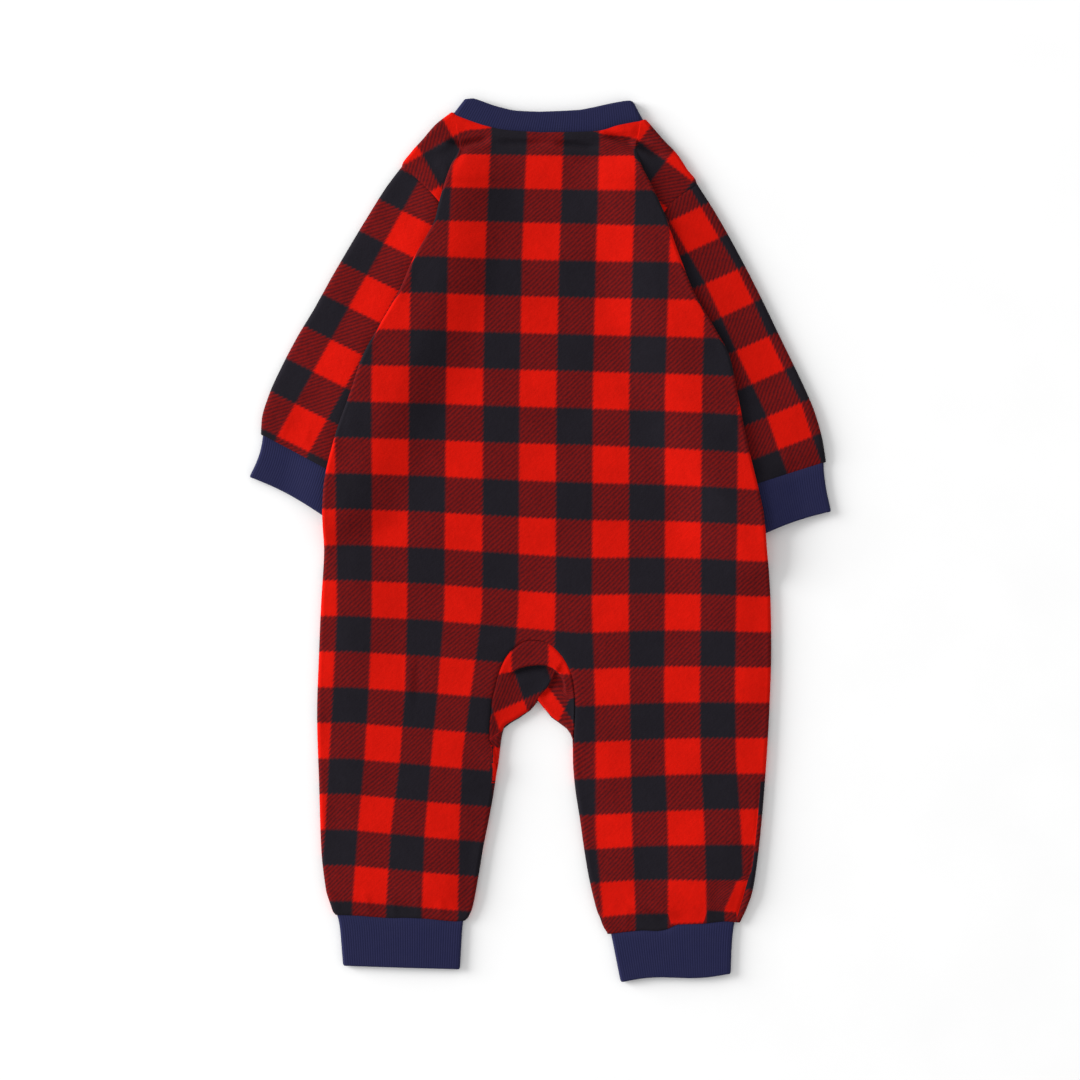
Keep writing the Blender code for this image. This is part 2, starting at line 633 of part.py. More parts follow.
def sleeve_place(side, s, t):
    """(distance, y) on a sleeve, s along it and t across it from its outer edge."""
    start_y = SHOULDER_END[side] - SEAM_SHIFT
    end_y = SLEEVE_OUTER[side].at[0]
    inner_end = WRIST_INNER[side]

    def outer(a):
        y = mix(start_y, end_y, a)
        return SLEEVE_OUTER[side](y), y

    def armhole_seam(b):
        y = mix(SHOULDER_END[side], ARMPIT, b)
        hidden = smooth((b - 0.1) / 0.2)
        out = SEAM_SHIFT + HIDDEN_SHIFT * hidden + ARMPIT_SHIFT * smooth((b - 0.85) / 0.15)
        return armhole_line(side, y) + out, y - SEAM_SHIFT * (1 - hidden)

    def blend(a, b, share):
        return mix(a[0], b[0], share), mix(a[1], b[1], share)

    across = blend(armhole_seam(t), blend(outer(1.0), inner_end, t), s)
    along = blend(outer(s), blend(armhole_seam(1.0), inner_end, s), t)
    top = blend(armhole_seam(0.0), armhole_seam(1.0), t)
    corners = blend(top, blend(outer(1.0), inner_end, t), s)
    return across[0] + along[0] - corners[0], across[1] + along[1] - corners[1]


def sleeve_levels(side, u, y, s, across):
    bottom, top = low(side, u, y), high(side, u, y)
    cuff_bottom, cuff_top = cuff_levels(side, u, y, across)
    free = 1 - min(1.0, lift_at(side, u, y))
    across = min(1.0, max(0.0, across))
    top += PUFF * free * math.sin(math.pi * across) * smooth(s / 0.15)
    to_cuff = smooth((s - SLEEVE_TO_CUFF) / (1 - SLEEVE_TO_CUFF))
    return mix(bottom, cuff_bottom, to_cuff), mix(top, cuff_top, to_cuff)


def distance(a, b):
    return math.hypot(a[0] - b[0], a[1] - b[1])


def sleeve(side):
    sheet = Sheet()
    rings = []
    depth = SHOULDER_END[side] - ARMPIT
    shares = [
        (SHOULDER_END[side] - row) / depth
        for row in BODY_ROWS
        if ARMPIT < row < SHOULDER_END[side] - SIDE_BEND
    ]
    for k in range(SLEEVE_STEPS + 1):
        s = k / SLEEVE_STEPS
        width = distance(sleeve_place(side, s, 0.0), sleeve_place(side, s, 1.0))
        rings.append(flat_ring(
            side,
            lambda t, s=s: sleeve_place(side, s, t),
            width,
            lambda u, y, a, s=s: sleeve_levels(side, u, y, s, a),
            (mix(SIDE_BEND, CUFF_BEND, smooth((s - SLEEVE_TO_CUFF) / (1 - SLEEVE_TO_CUFF))), BEND),
            FLEECE / 2,
            shares,
        ))
    sheet.grid(rings, around=True)
    return sheet


def cuff(side, seam, hem, raised):
    """A rib tube between two straight ends, each an (outer, inner) pair of points."""
    sheet = Sheet()
    rings = []
    length = distance(seam[0], hem[0])
    for k in range(CUFF_STEPS + 1):
        s = mix(GAP / length, 1.0, k / CUFF_STEPS)
        draw = 0.0 if raised else ANKLE_WAIST * math.sin(math.pi * s)
        outer = (mix(seam[0][0], hem[0][0], s) - draw, mix(seam[0][1], hem[0][1], s))
        inner = (mix(seam[1][0], hem[1][0], s), mix(seam[1][1], hem[1][1], s))
        rings.append(flat_ring(
            side,
            lambda t, a=outer, b=inner: (mix(a[0], b[0], t), mix(a[1], b[1], t)),
            distance(outer, inner),
            lambda u, y, a: cuff_levels(side, u, y, a, raised),
            (CUFF_BEND, CUFF_FOLD),
            RIB / 2,
            CUFF_FLAT,
        ))
    sheet.grid(rings, around=True)
    return sheet


def wrist_cuff(side):
    outer = SLEEVE_OUTER[side]
    seam = ((outer.value[0], outer.at[0]), WRIST_INNER[side])
    return cuff(side, seam, WRIST_HEM[side], True)


def ankle_cuff(side):
    return cuff(side, ANKLE_SEAM[side], ANKLE_HEM[side], False)


# --------------------------------------------------------------------- neck band
def half_band(side):
    """Half of the band: from its lapped end under the chin, round the fold, to the back's centre."""
    stations = []
    for row in BAND_FRONT_ROWS:
        seam = (FRONT_NECK[side](row) - SEAM_SHIFT * (row > FRONT_NECK_BASE), row + SEAM_SHIFT)
        edge = (BAND_FRONT_EDGE[side]["distance"](row), BAND_FRONT_EDGE[side]["y"](row))
        stations.append((seam, edge, RIB / 2 + lap_rise(side, seam[0], row)))
    turn = (SIDE_TOP - RIB / 2) / 2
    seam_u, edge_u = BAND_FOLD[side][0][0], BAND_FOLD[side][1][0]
    for k in range(-RING_ARC, RING_ARC + 1):
        a = math.pi / 2 * k / RING_ARC
        inset = BAND_SLANT * (RIB / 2 + turn * (1 - math.cos(a)))
        clear = BAND_GAP if k >= 0 else 2 * BAND_GAP
        stations.append((
            (seam_u - inset, NECK[side](seam_u - inset) + clear),
            (edge_u - inset, BAND_BACK_EDGE[side](edge_u - inset)),
            RIB / 2 + turn * (1 + math.sin(a)),
        ))
    for k in range(1, BAND_BACK_STEPS + 1):
        share = k / BAND_BACK_STEPS
        u, v = mix(seam_u - inset, 0.0, share), mix(edge_u - inset, 0.0, share)
        stations.append(((u, NECK[side](u) + BAND_GAP), (v, BAND_BACK_EDGE[side](v)), SIDE_TOP))
    return [[(SIGN[side] * p[0], p[1], z) for p in (seam, edge)] for seam, edge, z in stations]


def neck_band():
    sheet = Sheet()
    for side in SIDES:
        sheet.grid(half_band(side))
    return sheet


# ------------------------------------------------------------------------ gusset
def gusset_sheet():
    """The crotch piece, from the back's arch over a rolled fold to the fronts' arch."""
    sheet = Sheet()
    rows = []
    for side, back_y, front_y, roll in GUSSET:
        at_back = (SIGN[side] * (BACK_INNER[side](back_y) - BAND_GAP), back_y)
        at_front = (SIGN[side] * FRONT_INNER[side](front_y), front_y)
        length = distance(at_back, at_front)
        ahead = [(b - a) / length for a, b in zip(at_back, at_front)]
        flap = mix(SIDE_TOP, GUSSET_FLAP, roll)
        bend = flap - (SIDE_TOP + FLOOR + CURL_GAP) / 2
        end = length - FLEECE / 2 - bend
        profile = [
            (mix(GAP, end, share), mix(CROWN, flap, mix(share, fall, roll)))
            for share, fall in GUSSET_PROFILE
        ]
        profile += [(d, flap - drop) for d, drop in turn_arc((end, 0.0), bend, 0.0, math.pi / 2)]
        rows.append([(at_back[0] + ahead[0] * d, at_back[1] + ahead[1] * d, z) for d, z in profile])
    sheet.grid(rows)
    return sheet


# -------------------------------------------------------------------- snap caps
def snap_cap(number, y):
    """A flat round cap of a press stud on the outside of the lap."""
    mesh = bpy.data.meshes.new(f"snap_{number}")
    work = bmesh.new()
    bmesh.ops.create_cone(
        work, cap_ends=True, segments=SNAP_SIDES, radius1=SNAP_RADIUS * MM,
        radius2=SNAP_RADIUS * MM, depth=SNAP_HEIGHT * MM,
    )
    work.to_mesh(mesh)
    work.free()
    cap = bpy.data.objects.new(f"snap_{number}", mesh)
    cap.location = (0.0, y * MM, SNAP_HEIGHT / 2 * MM)
    bpy.context.scene.collection.objects.link(cap)
    mesh.materials.append(cloth_material(f"snap_{number}", SNAP_RED, 0.4))


# ------------------------------------------------------------------------- build
def build():
    for old in list(bpy.data.objects):
        bpy.data.objects.remove(old, do_unlink=True)
    cloth_object("back", back_panel(), FLEECE, FLEECE_RED, 0.95)
    cloth_object("gusset", gusset_sheet(), FLEECE, FLEECE_RED, 0.95)
    cloth_object("collar", neck_band(), RIB, RIB_NAVY, 0.9)
    for side in SIDES:
        cloth_object(f"front_{side}", front_panel(side), FLEECE, FLEECE_RED, 0.95)
        cloth_object(f"sleeve_{side}", sleeve(side), FLEECE, FLEECE_RED, 0.95)
        cloth_object(f"wrist_cuff_{side}", wrist_cuff(side), RIB, RIB_NAVY, 0.9)
        cloth_object(f"ankle_cuff_{side}", ankle_cuff(side), RIB, RIB_NAVY, 0.9)
    for number, y in enumerate(SNAP_PLACES, 1):
        snap_cap(number, y)


build()
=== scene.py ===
"""Looks of a baby's long-sleeved one-piece pajama in fleece, laid flat on its front.

Each cloth piece is a thin shell built about the same middle surface as its solid,
with finer steps, seams that dip, rounded hems, real ribs and small creases. The
check is worked out from the cloth coordinates of each point, in squares. Lengths
are in millimetres until a mesh is made. Each side is worked out in its own distance
from the centre line, with the wearer's left at -X.
"""

import heapq
import math

import bpy
import numpy as np
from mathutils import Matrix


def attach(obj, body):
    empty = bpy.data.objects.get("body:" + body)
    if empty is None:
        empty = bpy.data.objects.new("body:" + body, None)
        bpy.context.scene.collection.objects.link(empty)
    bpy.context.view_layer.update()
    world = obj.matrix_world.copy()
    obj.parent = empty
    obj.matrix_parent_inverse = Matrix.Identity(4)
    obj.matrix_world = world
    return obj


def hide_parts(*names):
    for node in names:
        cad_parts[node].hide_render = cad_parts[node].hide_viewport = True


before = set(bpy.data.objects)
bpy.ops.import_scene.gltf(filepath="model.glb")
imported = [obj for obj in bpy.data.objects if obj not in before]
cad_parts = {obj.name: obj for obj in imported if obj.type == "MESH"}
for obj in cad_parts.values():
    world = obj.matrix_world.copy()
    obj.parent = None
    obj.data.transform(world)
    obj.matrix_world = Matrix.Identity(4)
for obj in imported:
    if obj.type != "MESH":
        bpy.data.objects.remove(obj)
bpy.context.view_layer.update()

# ------------------------------------------------------------ driving dimensions
MM = 0.001                 # metres in a millimetre
FLEECE = 1.6               # thickness of the fleece
RIB = 1.8                  # thickness of the rib knit
GAP = 0.08                 # clearance between two pieces at a seam
BAND_GAP = 0.12            # clearance of neck band and gusset along their curved seams
CURL_GAP = 0.15            # clearance between two curled edges, in the middle of the cloth
LAYER = 2.3                # height from one layer of a fold to the next
BEND = LAYER / 2           # radius of a folded edge, in the middle of the cloth
FLOOR = FLEECE / 2         # middle of the layer that lies on the surface
SIDE_TOP = 5.2             # middle of the back beside a sewn side
CROWN = 6.3                # middle of the back in the middle of body and legs
STACK_TOP = FLOOR + 5 * LAYER   # middle of the back over the folds and sleeve
STUB = 3.0                 # cloth left between a hidden fold and the armhole
FALL = 30.0                # distance over which a sleeve comes down off the folds
PUFF = 1.0                 # rise of a sleeve's back between its edges
SIDE_BEND = 1.82           # radius of a sewn side, in the middle of the cloth
INNER_RISE = 24.0          # distance over which a leg's back rises from its inseam
SEAM_SHIFT = 0.1           # the sleeve starts this far out and down from the armhole
CUFF_TOP = 3.8             # middle of a cuff's upper layer beside its edges
CUFF_PUFF = 0.5            # rise of a cuff's upper layer between its edges
CUFF_PAIR = 2.4            # height between a cuff's layers where it is folded in
CUFF_BEND = 1.45           # radius of a cuff's outer side
CUFF_FOLD = 1.2            # radius of a cuff's inner side
BAND_SLANT = 0.8           # the neck band's side folds lean, so its bends narrow by this
SLEEVE_TO_CUFF = 0.93      # from this share of its length a sleeve comes down to its cuff
ANKLE_TOP = 4.0            # middle of the back where it meets an ankle cuff
LAP = 11.0                 # each front reaches this far past the centre
LAP_UNDER = 1.1            # rise of the outer front over its snap caps
LAP_OVER = 3.2             # rise of the inner front over the outer one
LAP_FLAT = 16.0            # the lapped cloth is level this far from the centre
LAP_SLOPE = 12.0           # and comes down over this distance
LAP_END = -32.0            # the lap ends here, and a plain seam goes on below
LAP_CLOSE = 8.0            # length over which the lap narrows to the seam
LAP_FROM = -58.0           # the fronts rise for the lap from this y up
LAP_RISE = 14.0            # and over this length
NECK_SLANT = 1.9           # the fronts' neckline starts this far below the shoulder's end
CENTRE_DRIFT = 6.1         # the crotch lies this far left of the centre line
GUSSET_FLAP = 4.4          # middle of the gusset below its rolled fold
GUSSET_FALL = 0.9          # share of its length over which it comes down to that
CROWN_END = 240.0          # the body's crown comes down to the neck from this y up
CROWN_FALL = 38.0          # and over this length
ANKLE_FALL_FROM = -240.0   # the legs come down to the ankle cuffs from this y down
ANKLE_FALL = 18.0
FOLD_FLAT = 3.0            # the back is level this far in from a hidden fold
SIDE_RISE = 24.0           # distance over which it rises from a sewn side
FOLD_RISE = 46.0           # and from a fold
DRIFT_FROM = 60.0          # from this y down the back's middle drifts to the crotch
LEAST_WING = 0.1           # a wing is at least this wide outside its fold
PUFF_START = 0.15          # share of a sleeve's length over which its puff begins
UNDER_BODY = (0.1, 0.2)    # share of the armhole at which the body covers it, and over which

# Steps of points along each part of a row, and where they lie closer
ARC_STEPS = 5
HIDDEN_STEPS = 4
MAIN_STEPS = 64
STRIP_STEPS = 3            # between a sewn side's line and the bend there
WING_STEPS = 8
RING_ARC = 5
ROW_STEP = 3.3             # spacing of rows; it keeps each piece under 200,000 triangles
FINE_STEP = 1.3            # spacing of rows near the neck and the ankles
FINE_ABOVE = 243.0         # near the neck is above this y
FINE_BELOW = -236.0        # and near the ankles is below this one
LEAST_STEP = 0.05          # rows closer than this are left out
NEAR_SEAM = (0.4, 0.9, 1.6, 2.5)   # distances from a seam
NEAR_SHARE = 0.3           # they take up at most this share of a narrow stretch
SLEEVE_STEPS = 62
SLEEVE_ACROSS = 34
SLEEVE_AHEAD = 0.02        # share of a sleeve's length that shows its direction at the seam
CUFF_STEPS = 9
CUFF_ACROSS = 24
BAND_ROW_STEP = 1.5
BAND_BACK_STEPS = 30
BAND_SHARES = (0.0, 0.03, 0.08, 0.16, 0.3, 0.45, 0.6, 0.74, 0.85, 0.92, 0.97, 1.0)
GUSSET_STEP = 1.2
GUSSET_ACROSS = 60
ARCH_STEPS = 20

# Shape of what the finer steps show
ARCH_FOOT = -76.5          # below this the arch over the leg gap has its plain sides
ARCH_POWER = {"left": 0.55, "right": 0.4}   # roundness of its top
CURL_START = 16.0          # length over which a leg's inner edge starts to curl under
CROTCH_DRIFT = -94.0       # the fronts' centre seam leaves the centre line here
WING_GONE = 126.0          # the side seam is whole from here down
ARMHOLE_BLEND = 7.0        # length over which the armhole goes under the fold
SHOULDER_FADE = 5.0        # length over which the shoulder seam's bend ends
WING_TIP_Y = {"left": 254.0, "right": 252.0}   # the folds' tips fade out from here up
WING_TIP_DEPTH = 14.0
BAND_SWELL = 0.35          # rise of the neck band between its edges
BAND_UNDER = 0.11          # share of its width by which it goes in under the fleece
# Sewn sides and inseams stand out this much more, as their edges are rounded
SIDE_FULL = {"left": 0.2, "right": 0.4}
INSEAM_FULL = 0.6
# Each cuff: how far it is drawn in at its seam, outside and inside, and in its middle
# outside, how far its hem bows towards the seam, how far the hem waves, and how far the
# cuff flares out right beside its seam, with a third of that on its inner side
CUFF_SHAPE = {
    ("wrist", "left"): (1.8, 0.0, 1.9, 2.1, 0.0, 0.3),
    ("wrist", "right"): (2.0, 0.0, 1.2, 1.9, 0.0, 0.2),
    ("ankle", "left"): (1.4, 0.3, 0.1, -0.1, 0.0, 1.5),
    ("ankle", "right"): (1.1, 0.6, 0.5, 0.2, 1.4, 0.6),
}
CUFF_DRAW = 1.5            # power by which the drawing-in ends down the cuff
CUFF_FLARE = 4.5           # the flare fades over this distance from the seam
CUFF_CORNER = 0.9          # rounding of a hem's corners
NEAR_HEM = (1.6, 1.0, 0.5) # distances from a hem
RIB_PITCH = 1.6            # width of a rib
RIB_STEPS = 6              # points across a rib
RIB_DEPTH = 0.2            # depth of the valleys between ribs
RIB_ROUND = 0.7            # power that shapes a rib; less is flatter on top
RIB_STANDS = 0.25          # share of that depth by which the crests stand out
RIB_FADE = 1.0             # the ribs begin over this distance from an edge
OVER_DIP = 0.4             # at a seam, the upper piece's edge lies this much deeper
OVER_WIDTH = 1.5           # and comes back up over this distance
UNDER_DIP = 1.2            # the other piece goes in under it, this deep at its end
UNDER_WIDTH = 1.9
UNDER_REACH = 1.5          # distance that it goes in
EDGE_ROUND = 0.55          # an edge is rounded over this share of the thickness
EDGE_LEAST = 0.06          # least square of its half thickness, as a share
EDGE_REACH = 6.0           # distances from edges are worked out up to this one
# Distances from an edge over which creases fade: at a sewn side or inseam, at the side
# seam on top, with the share of them that is left there, and on a wing
CREASE_FADE = 6.0
SIDE_SEAM_FADE = 3.0
SIDE_SEAM_SHARE = 0.3
WING_FADE = 8.0
SLEEVE_FADE = 6            # on a sleeve they fade over its width divided by this
GUSSET_FADE = (0.1, 0.18)  # on the gusset, shares of its length at the back and the fronts
HIDDEN_DENT = 0.3          # the side that lies down is pressed in by this

# The check's twill and colours
TWILL_ACROSS = 7.32        # twill lines in a square, across and down
TWILL_DOWN = 7.35
TWILL_SHARP = 0.27
TOOTH = 0.05               # depth of the teeth at the squares' edges, in squares
FRAY = 0.02
EDGE_SHARP = 5.0
STITCHES = 1.5             # knit stitches in the length of a rib's width

# Rows of points down the body, as nominal heights
TOP_ROWS = (292.0, 285.0, 277.0)
BODY_ROWS = (
    268.4, 261.6, 255.1, 249.3, 243.8, 239.1, 237.0, 230.2, 222.0, 205.0, 187.0, 167.0,
    150.0, 136.6, 126.0, 108.0, 88.0, 68.0, 50.0, 33.0, 17.0, 5.0, -5.5, -17.0,
    -28.7, -46.0,
)
LEG_ROWS = (-136.0, -153.0, -170.8, -190.0, -210.0, -232.0, -243.0, -251.0, -258.0)
BACK_LEG_ROWS = (-68.3, -71.0, -76.5, -84.0, -95.0, -112.0, *LEG_ROWS)
FRONT_LEG_ROWS = (-60.0, -85.0, -110.0, -116.1, -121.0, -128.4, *LEG_ROWS)
BAND_FRONT_ROWS = (237.0, 239.1, 243.8, 249.3, 255.1, 261.6, 268.4, 276.6, 283.0)
FRONT_NECK_BASE = 237.0    # the fronts' neckline is lowest here
NECK_BASE = 268.4          # rows above this bend to follow the neck seam
ANKLE_BASE = -232.0        # rows below this bend to follow the ankle seam


# -------------------------------------------------------------- curves and tables
class Curve:
    """A smooth curve through a few points that never swings past them."""

    def __init__(self, pairs):
        self.at, self.value = zip(*sorted(pairs))
        steps = [
            (self.value[i + 1] - self.value[i]) / (self.at[i + 1] - self.at[i])
            for i in range(len(self.at) - 1)
        ]
        inner = [
            0.0 if a * b <= 0 else 2 * a * b / (a + b)
            for a, b in zip(steps, steps[1:])
        ]
        self.slope = [steps[0]] + inner + [steps[-1]]

    def __call__(self, x):
        if x <= self.at[0]:
            return self.value[0]
        if x >= self.at[-1]:
            return self.value[-1]
        i = max(k for k in range(len(self.at) - 1) if self.at[k] <= x)
        span = self.at[i + 1] - self.at[i]
        t = (x - self.at[i]) / span
        start = (2 * t**3 - 3 * t**2 + 1) * self.value[i]
        start += (t**3 - 2 * t**2 + t) * span * self.slope[i]
        end = (3 * t**2 - 2 * t**3) * self.value[i + 1]
        end += (t**3 - t**2) * span * self.slope[i + 1]
        return start + end


def curves(names, rows):
    """One curve per named column, each against the table's first column."""
    return {
        name: Curve([(row[0], row[k + 1]) for row in rows])
        for k, name in enumerate(names)
    }


def mix(a, b, t):
    return a + (b - a) * t


def clamp(t):
    return min(1.0, max(0.0, t))


def smooth(t):
    t = clamp(t)
    return t * t * (3 - 2 * t)


def step_at(past, width):
    """Smooth step from 0 to 1 that is centred on 0."""
    return smooth(past / width + 0.5)


def blend_pair(a, b, t):
    return mix(a[0], b[0], t), mix(a[1], b[1], t)


def distance(a, b):
    return math.hypot(a[0] - b[0], a[1] - b[1])


def add_object(name, data):
    """A new object in the scene."""
    thing = bpy.data.objects.new(name, data)
    bpy.context.scene.collection.objects.link(thing)
    return thing


# Body outline: y, then the distance of the visible edge from the centre
BODY = curves(("left", "right"), [
    (292.0, 58.4, 70.1), (280.0, 57.2, 68.4), (268.4, 55.3, 66.3), (255.1, 61.0, 69.5), (243.8, 65.0, 75.2),
    (230.2, 69.0, 81.6), (218.6, 71.7, 86.7), (204.9, 78.9, 91.2), (189.9, 87.4, 96.6),
    (169.4, 96.3, 104.8), (145.5, 110.0, 118.5), (125.0, 121.2, 129.4), (99.0, 130.1, 134.9),
    (68.3, 140.7, 141.0), (34.2, 147.9, 149.2), (17.8, 148.6, 152.7), (-5.5, 147.5, 154.8),
    (-44.4, 149.6, 157.4), (-75.1, 150.9, 157.8), (-120.0, 152.3, 156.3),
    (-167.3, 150.9, 153.3), (-208.3, 149.6, 149.6), (-239.1, 146.2, 145.2),
    (-249.3, 143.1, 142.0), (-253.4, 141.8, 140.3), (-256.0, 139.8, 139.1), (-258.0, 138.9, 138.1),
    (-262.0, 138.0, 136.2),
])

# Side folds: y, how far the fold is closed (0 open, 1 flat), straight width of the
# hidden layer, and how much of the sleeve's height is under the back
FOLD_TIP = (
    (268.4, 0.0, 0.0, 0.0), (261.6, 0.35, 0.3, 0.0), (255.1, 0.6, 0.6, 0.0),
    (249.3, 0.8, 0.8, 0.0), (243.8, 1.0, 0.9, 1.0), (230.2, 1.0, 1.1, 1.0),
)


def side_fold(closed_rows, last_rows):
    """A side fold's curves; where it is closed, its rows are only y and width."""
    closed = [(y, 1.0, width, 1.0) for y, width in closed_rows]
    return curves(("closed", "width", "stack"), [*FOLD_TIP, *closed, *last_rows])


FOLD = {
    "left": side_fold(
        [(218.6, 3.7), (204.9, 7.2), (189.9, 10.7), (169.4, 15.7), (145.5, 21.7), (136.6, 23.7),
         (125.0, 26.0), (99.0, 23.5), (68.3, 17.7), (34.2, 9.5)],
        [(17.0, 1.0, 3.2, 0.95), (5.0, 0.6, 0.8, 0.6), (-5.5, 0.0, 0.0, 0.0)],
    ),
    "right": side_fold(
        [(218.6, 2.5), (204.9, 6.0), (189.9, 10.0), (169.4, 15.7), (145.5, 21.7), (136.6, 23.2),
         (125.0, 26.5), (99.0, 24.7), (68.3, 20.2), (34.2, 16.2), (17.0, 14.7), (5.0, 12.8)],
        [(-5.5, 1.0, 8.7, 0.9), (-17.0, 0.6, 1.0, 0.6), (-28.7, 0.0, 0.0, 0.0)],
    ),
}

# Shoulder seam and the armhole seam as far as it shows: y, distance from the centre
WING = {
    "left": Curve([
        (292.0, 60.8), (283.4, 71.8), (273.9, 80.1), (264.7, 88.3), (255.1, 94.6),
        (250.7, 88.8), (245.9, 83.7), (237.7, 75.1), (230.2, 68.6),
    ]),
    "right": Curve([
        (287.2, 72.4), (283.4, 75.8), (273.2, 84.7), (263.0, 94.3), (252.7, 101.1),
        (243.8, 107.2), (236.3, 97.7), (229.5, 89.2), (222.0, 84.2),
    ]),
}
CORNER_Y = {"left": 292.0, "right": 287.2}         # neck end of the shoulder seam
SHOULDER_END = {"left": 255.1, "right": 243.8}     # where the shoulder seam meets the sleeve
WING_END = {"left": 230.2, "right": 222.0}         # below this the armhole is hidden
ARMPIT = 136.6

# Neck seam of the back: distance from the centre, y
NECK = {
    "left": Curve([(0.0, 278.6), (22.5, 280.2), (35.5, 282.8), (52.6, 288.6), (60.8, 292.0)]),
    "right": Curve([(0.0, 278.6), (16.7, 278.8), (37.6, 279.6), (56.0, 284.1), (72.4, 287.2)]),
}
# Neckline of the fronts, which is lower: y, distance from the centre
FRONT_NECK = {
    "left": Curve([(291.0, 57.0), (276.6, 54.5), (259.5, 47.8), (245.9, 32.8), (239.1, 13.7),
                   (237.0, -LAP)]),
    "right": Curve([(286.0, 68.0), (276.6, 64.5), (259.5, 55.0), (245.9, 38.0), (239.1, 17.0),
                    (237.0, -LAP)]),
}

# Inner edges of the legs: y, distance from the centre on the left and on the right
LOWER_INSEAM = (
    (-170.8, 31.8, 24.6), (-190.0, 35.2, 27.6), (-210.0, 39.2, 30.4), (-228.8, 42.3, 33.5),
    (-249.3, 46.1, 38.2), (-253.4, 47.3, 39.4), (-255.4, 48.3, 40.2), (-257.5, 49.3, 41.2),
    (-259.8, 51.4, 42.0), (-264.0, 52.4, 43.6), (-268.0, 53.0, 46.2),
)
BACK_INNER = curves(("left", "right"), [
    (-68.3, 6.1, -6.1), (-71.0, 13.7, 6.1), (-76.5, 20.5, 12.3), (-84.0, 25.3, 17.8),
    (-95.0, 29.4, 21.9), (-112.0, 33.2, 23.8), (-136.0, 34.8, 23.2), (-140.5, 32.2, 23.0),
    (-147.0, 30.9, 23.0), (-153.0, 29.9, 23.0), (-160.0, 30.3, 23.5), *LOWER_INSEAM,
])
FRONT_INNER = curves(("left", "right"), [
    (-110.0, 1.4, -1.4), (-116.1, 6.8, 4.1), (-121.0, 14.0, 8.2), (-128.4, 24.9, 18.4),
    (-136.0, 26.8, 22.6), (-153.0, 28.9, 23.0), (-160.0, 30.2, 23.5), *LOWER_INSEAM,
])
GUSSET_END = {"left": -153.0, "right": -136.0}
SPLIT = {"back": -68.3, "front": -110.0}

# Sleeves: outer edge as y, distance; the other corners as (distance, y)
SLEEVE_OUTER = {
    "left": Curve([(255.1, 94.6), (242.5, 104.2), (222.0, 117.3), (181.0, 141.8), (157.0, 155.2),
                   (140.0, 165.5), (119.5, 176.3), (99.0, 185.5), (82.0, 190.3), (72.1, 190.8)]),
    "right": Curve([(243.8, 106.9), (222.0, 120.8), (181.0, 143.4), (140.0, 163.6), (99.0, 183.2),
                    (88.8, 187.4), (68.3, 193.2), (53.3, 195.6)]),
}
WRIST_INNER = {"left": (135.9, 43.0), "right": (133.9, 33.5)}
WRIST_HEM = {
    "left": ((198.8, 42.9), (146.2, 15.9)),
    "right": ((199.1, 19.4), (142.7, -0.3)),
}
# Rise of the seam between leg and ankle cuff, by the share of the way to its inner end
SEAM_WAVE = {
    "left": Curve([(0.0, 0.0), (0.17, 0.0), (0.4, -0.6), (0.53, 0.0), (0.66, 0.2), (0.93, -0.9),
                   (1.0, 0.0)]),
    "right": Curve([(0.0, 0.0), (0.12, 1.7), (0.28, 1.4), (0.46, 2.2), (0.56, -0.4), (0.61, -0.8),
                    (0.76, 0.6), (1.0, 0.0)]),
}
# Ankles: seam and hem, each as (outer distance, y), (inner distance, y)
ANKLE_SEAM = {
    "left": ((138.6, -256.4), (52.7, -260.2)),
    "right": ((133.4, -261.6), (48.2, -269.5)),
}
ANKLE_HEM = {
    "left": ((134.6, -291.0), (54.8, -293.4)),
    "right": ((130.4, -296.5), (55.2, -302.2)),
}

# Neck band at its side folds, as (distance, y) of the seam and of the free edge
BAND_FOLD = {
    "left": ((59.0, 291.9), (51.2, 301.1)),
    "right": ((70.3, 287.3), (63.5, 299.0)),
}
# Free edge of the band over the back: distance, y
BAND_BACK_EDGE = {
    "left": Curve([(0.0, 292.6), (14.6, 293.2), (30.3, 296.5), (41.0, 300.3), (46.0, 301.7),
                   (51.2, 301.1)]),
    "right": Curve([(0.0, 292.6), (26.0, 293.8), (34.8, 295.3), (50.5, 298.7), (61.2, 300.2),
                    (63.5, 299.0)]),
}
# Free edge of the band under the chin, against the y of its seam: distance, y
BAND_FRONT_EDGE = {
    "left": curves(("distance", "y"), [
        (237.0, -LAP, 250.7), (239.1, 11.0, 252.5), (243.8, 19.8, 254.8), (249.3, 27.2, 258.3),
        (255.1, 32.6, 262.7), (261.6, 36.7, 267.1), (268.4, 39.6, 272.6), (276.6, 43.0, 281.5),
        (284.0, 46.0, 291.0),
    ]),
    "right": curves(("distance", "y"), [
        (237.0, -LAP, 250.7), (239.1, 14.0, 252.5), (243.8, 24.0, 255.3), (249.3, 32.5, 259.5),
        (255.1, 39.5, 264.5), (261.6, 45.5, 270.0), (268.4, 50.0, 276.0), (276.6, 54.5, 284.0),
        (284.0, 58.5, 291.5),
    ]),
}

# Gusset: y on the back's edge, y on the front's edge, how far its fold is rolled
GUSSET = {
    "left": (
        (-153.0, -153.0, 0.0), (-136.0, -137.0, 0.15), (-112.0, -127.0, 0.55), (-95.0, -122.5, 0.85),
        (-84.0, -120.0, 1.0), (-76.5, -117.0, 1.0), (-71.0, -113.5, 1.0), (-68.3, -110.0, 1.0),
    ),
    "right": (
        (-68.3, -110.0, 1.0), (-71.0, -115.0, 1.0), (-76.5, -119.0, 1.0), (-84.0, -122.5, 0.95),
        (-95.0, -126.5, 0.8), (-112.0, -130.5, 0.4), (-129.0, -135.0, 0.0),
    ),
}
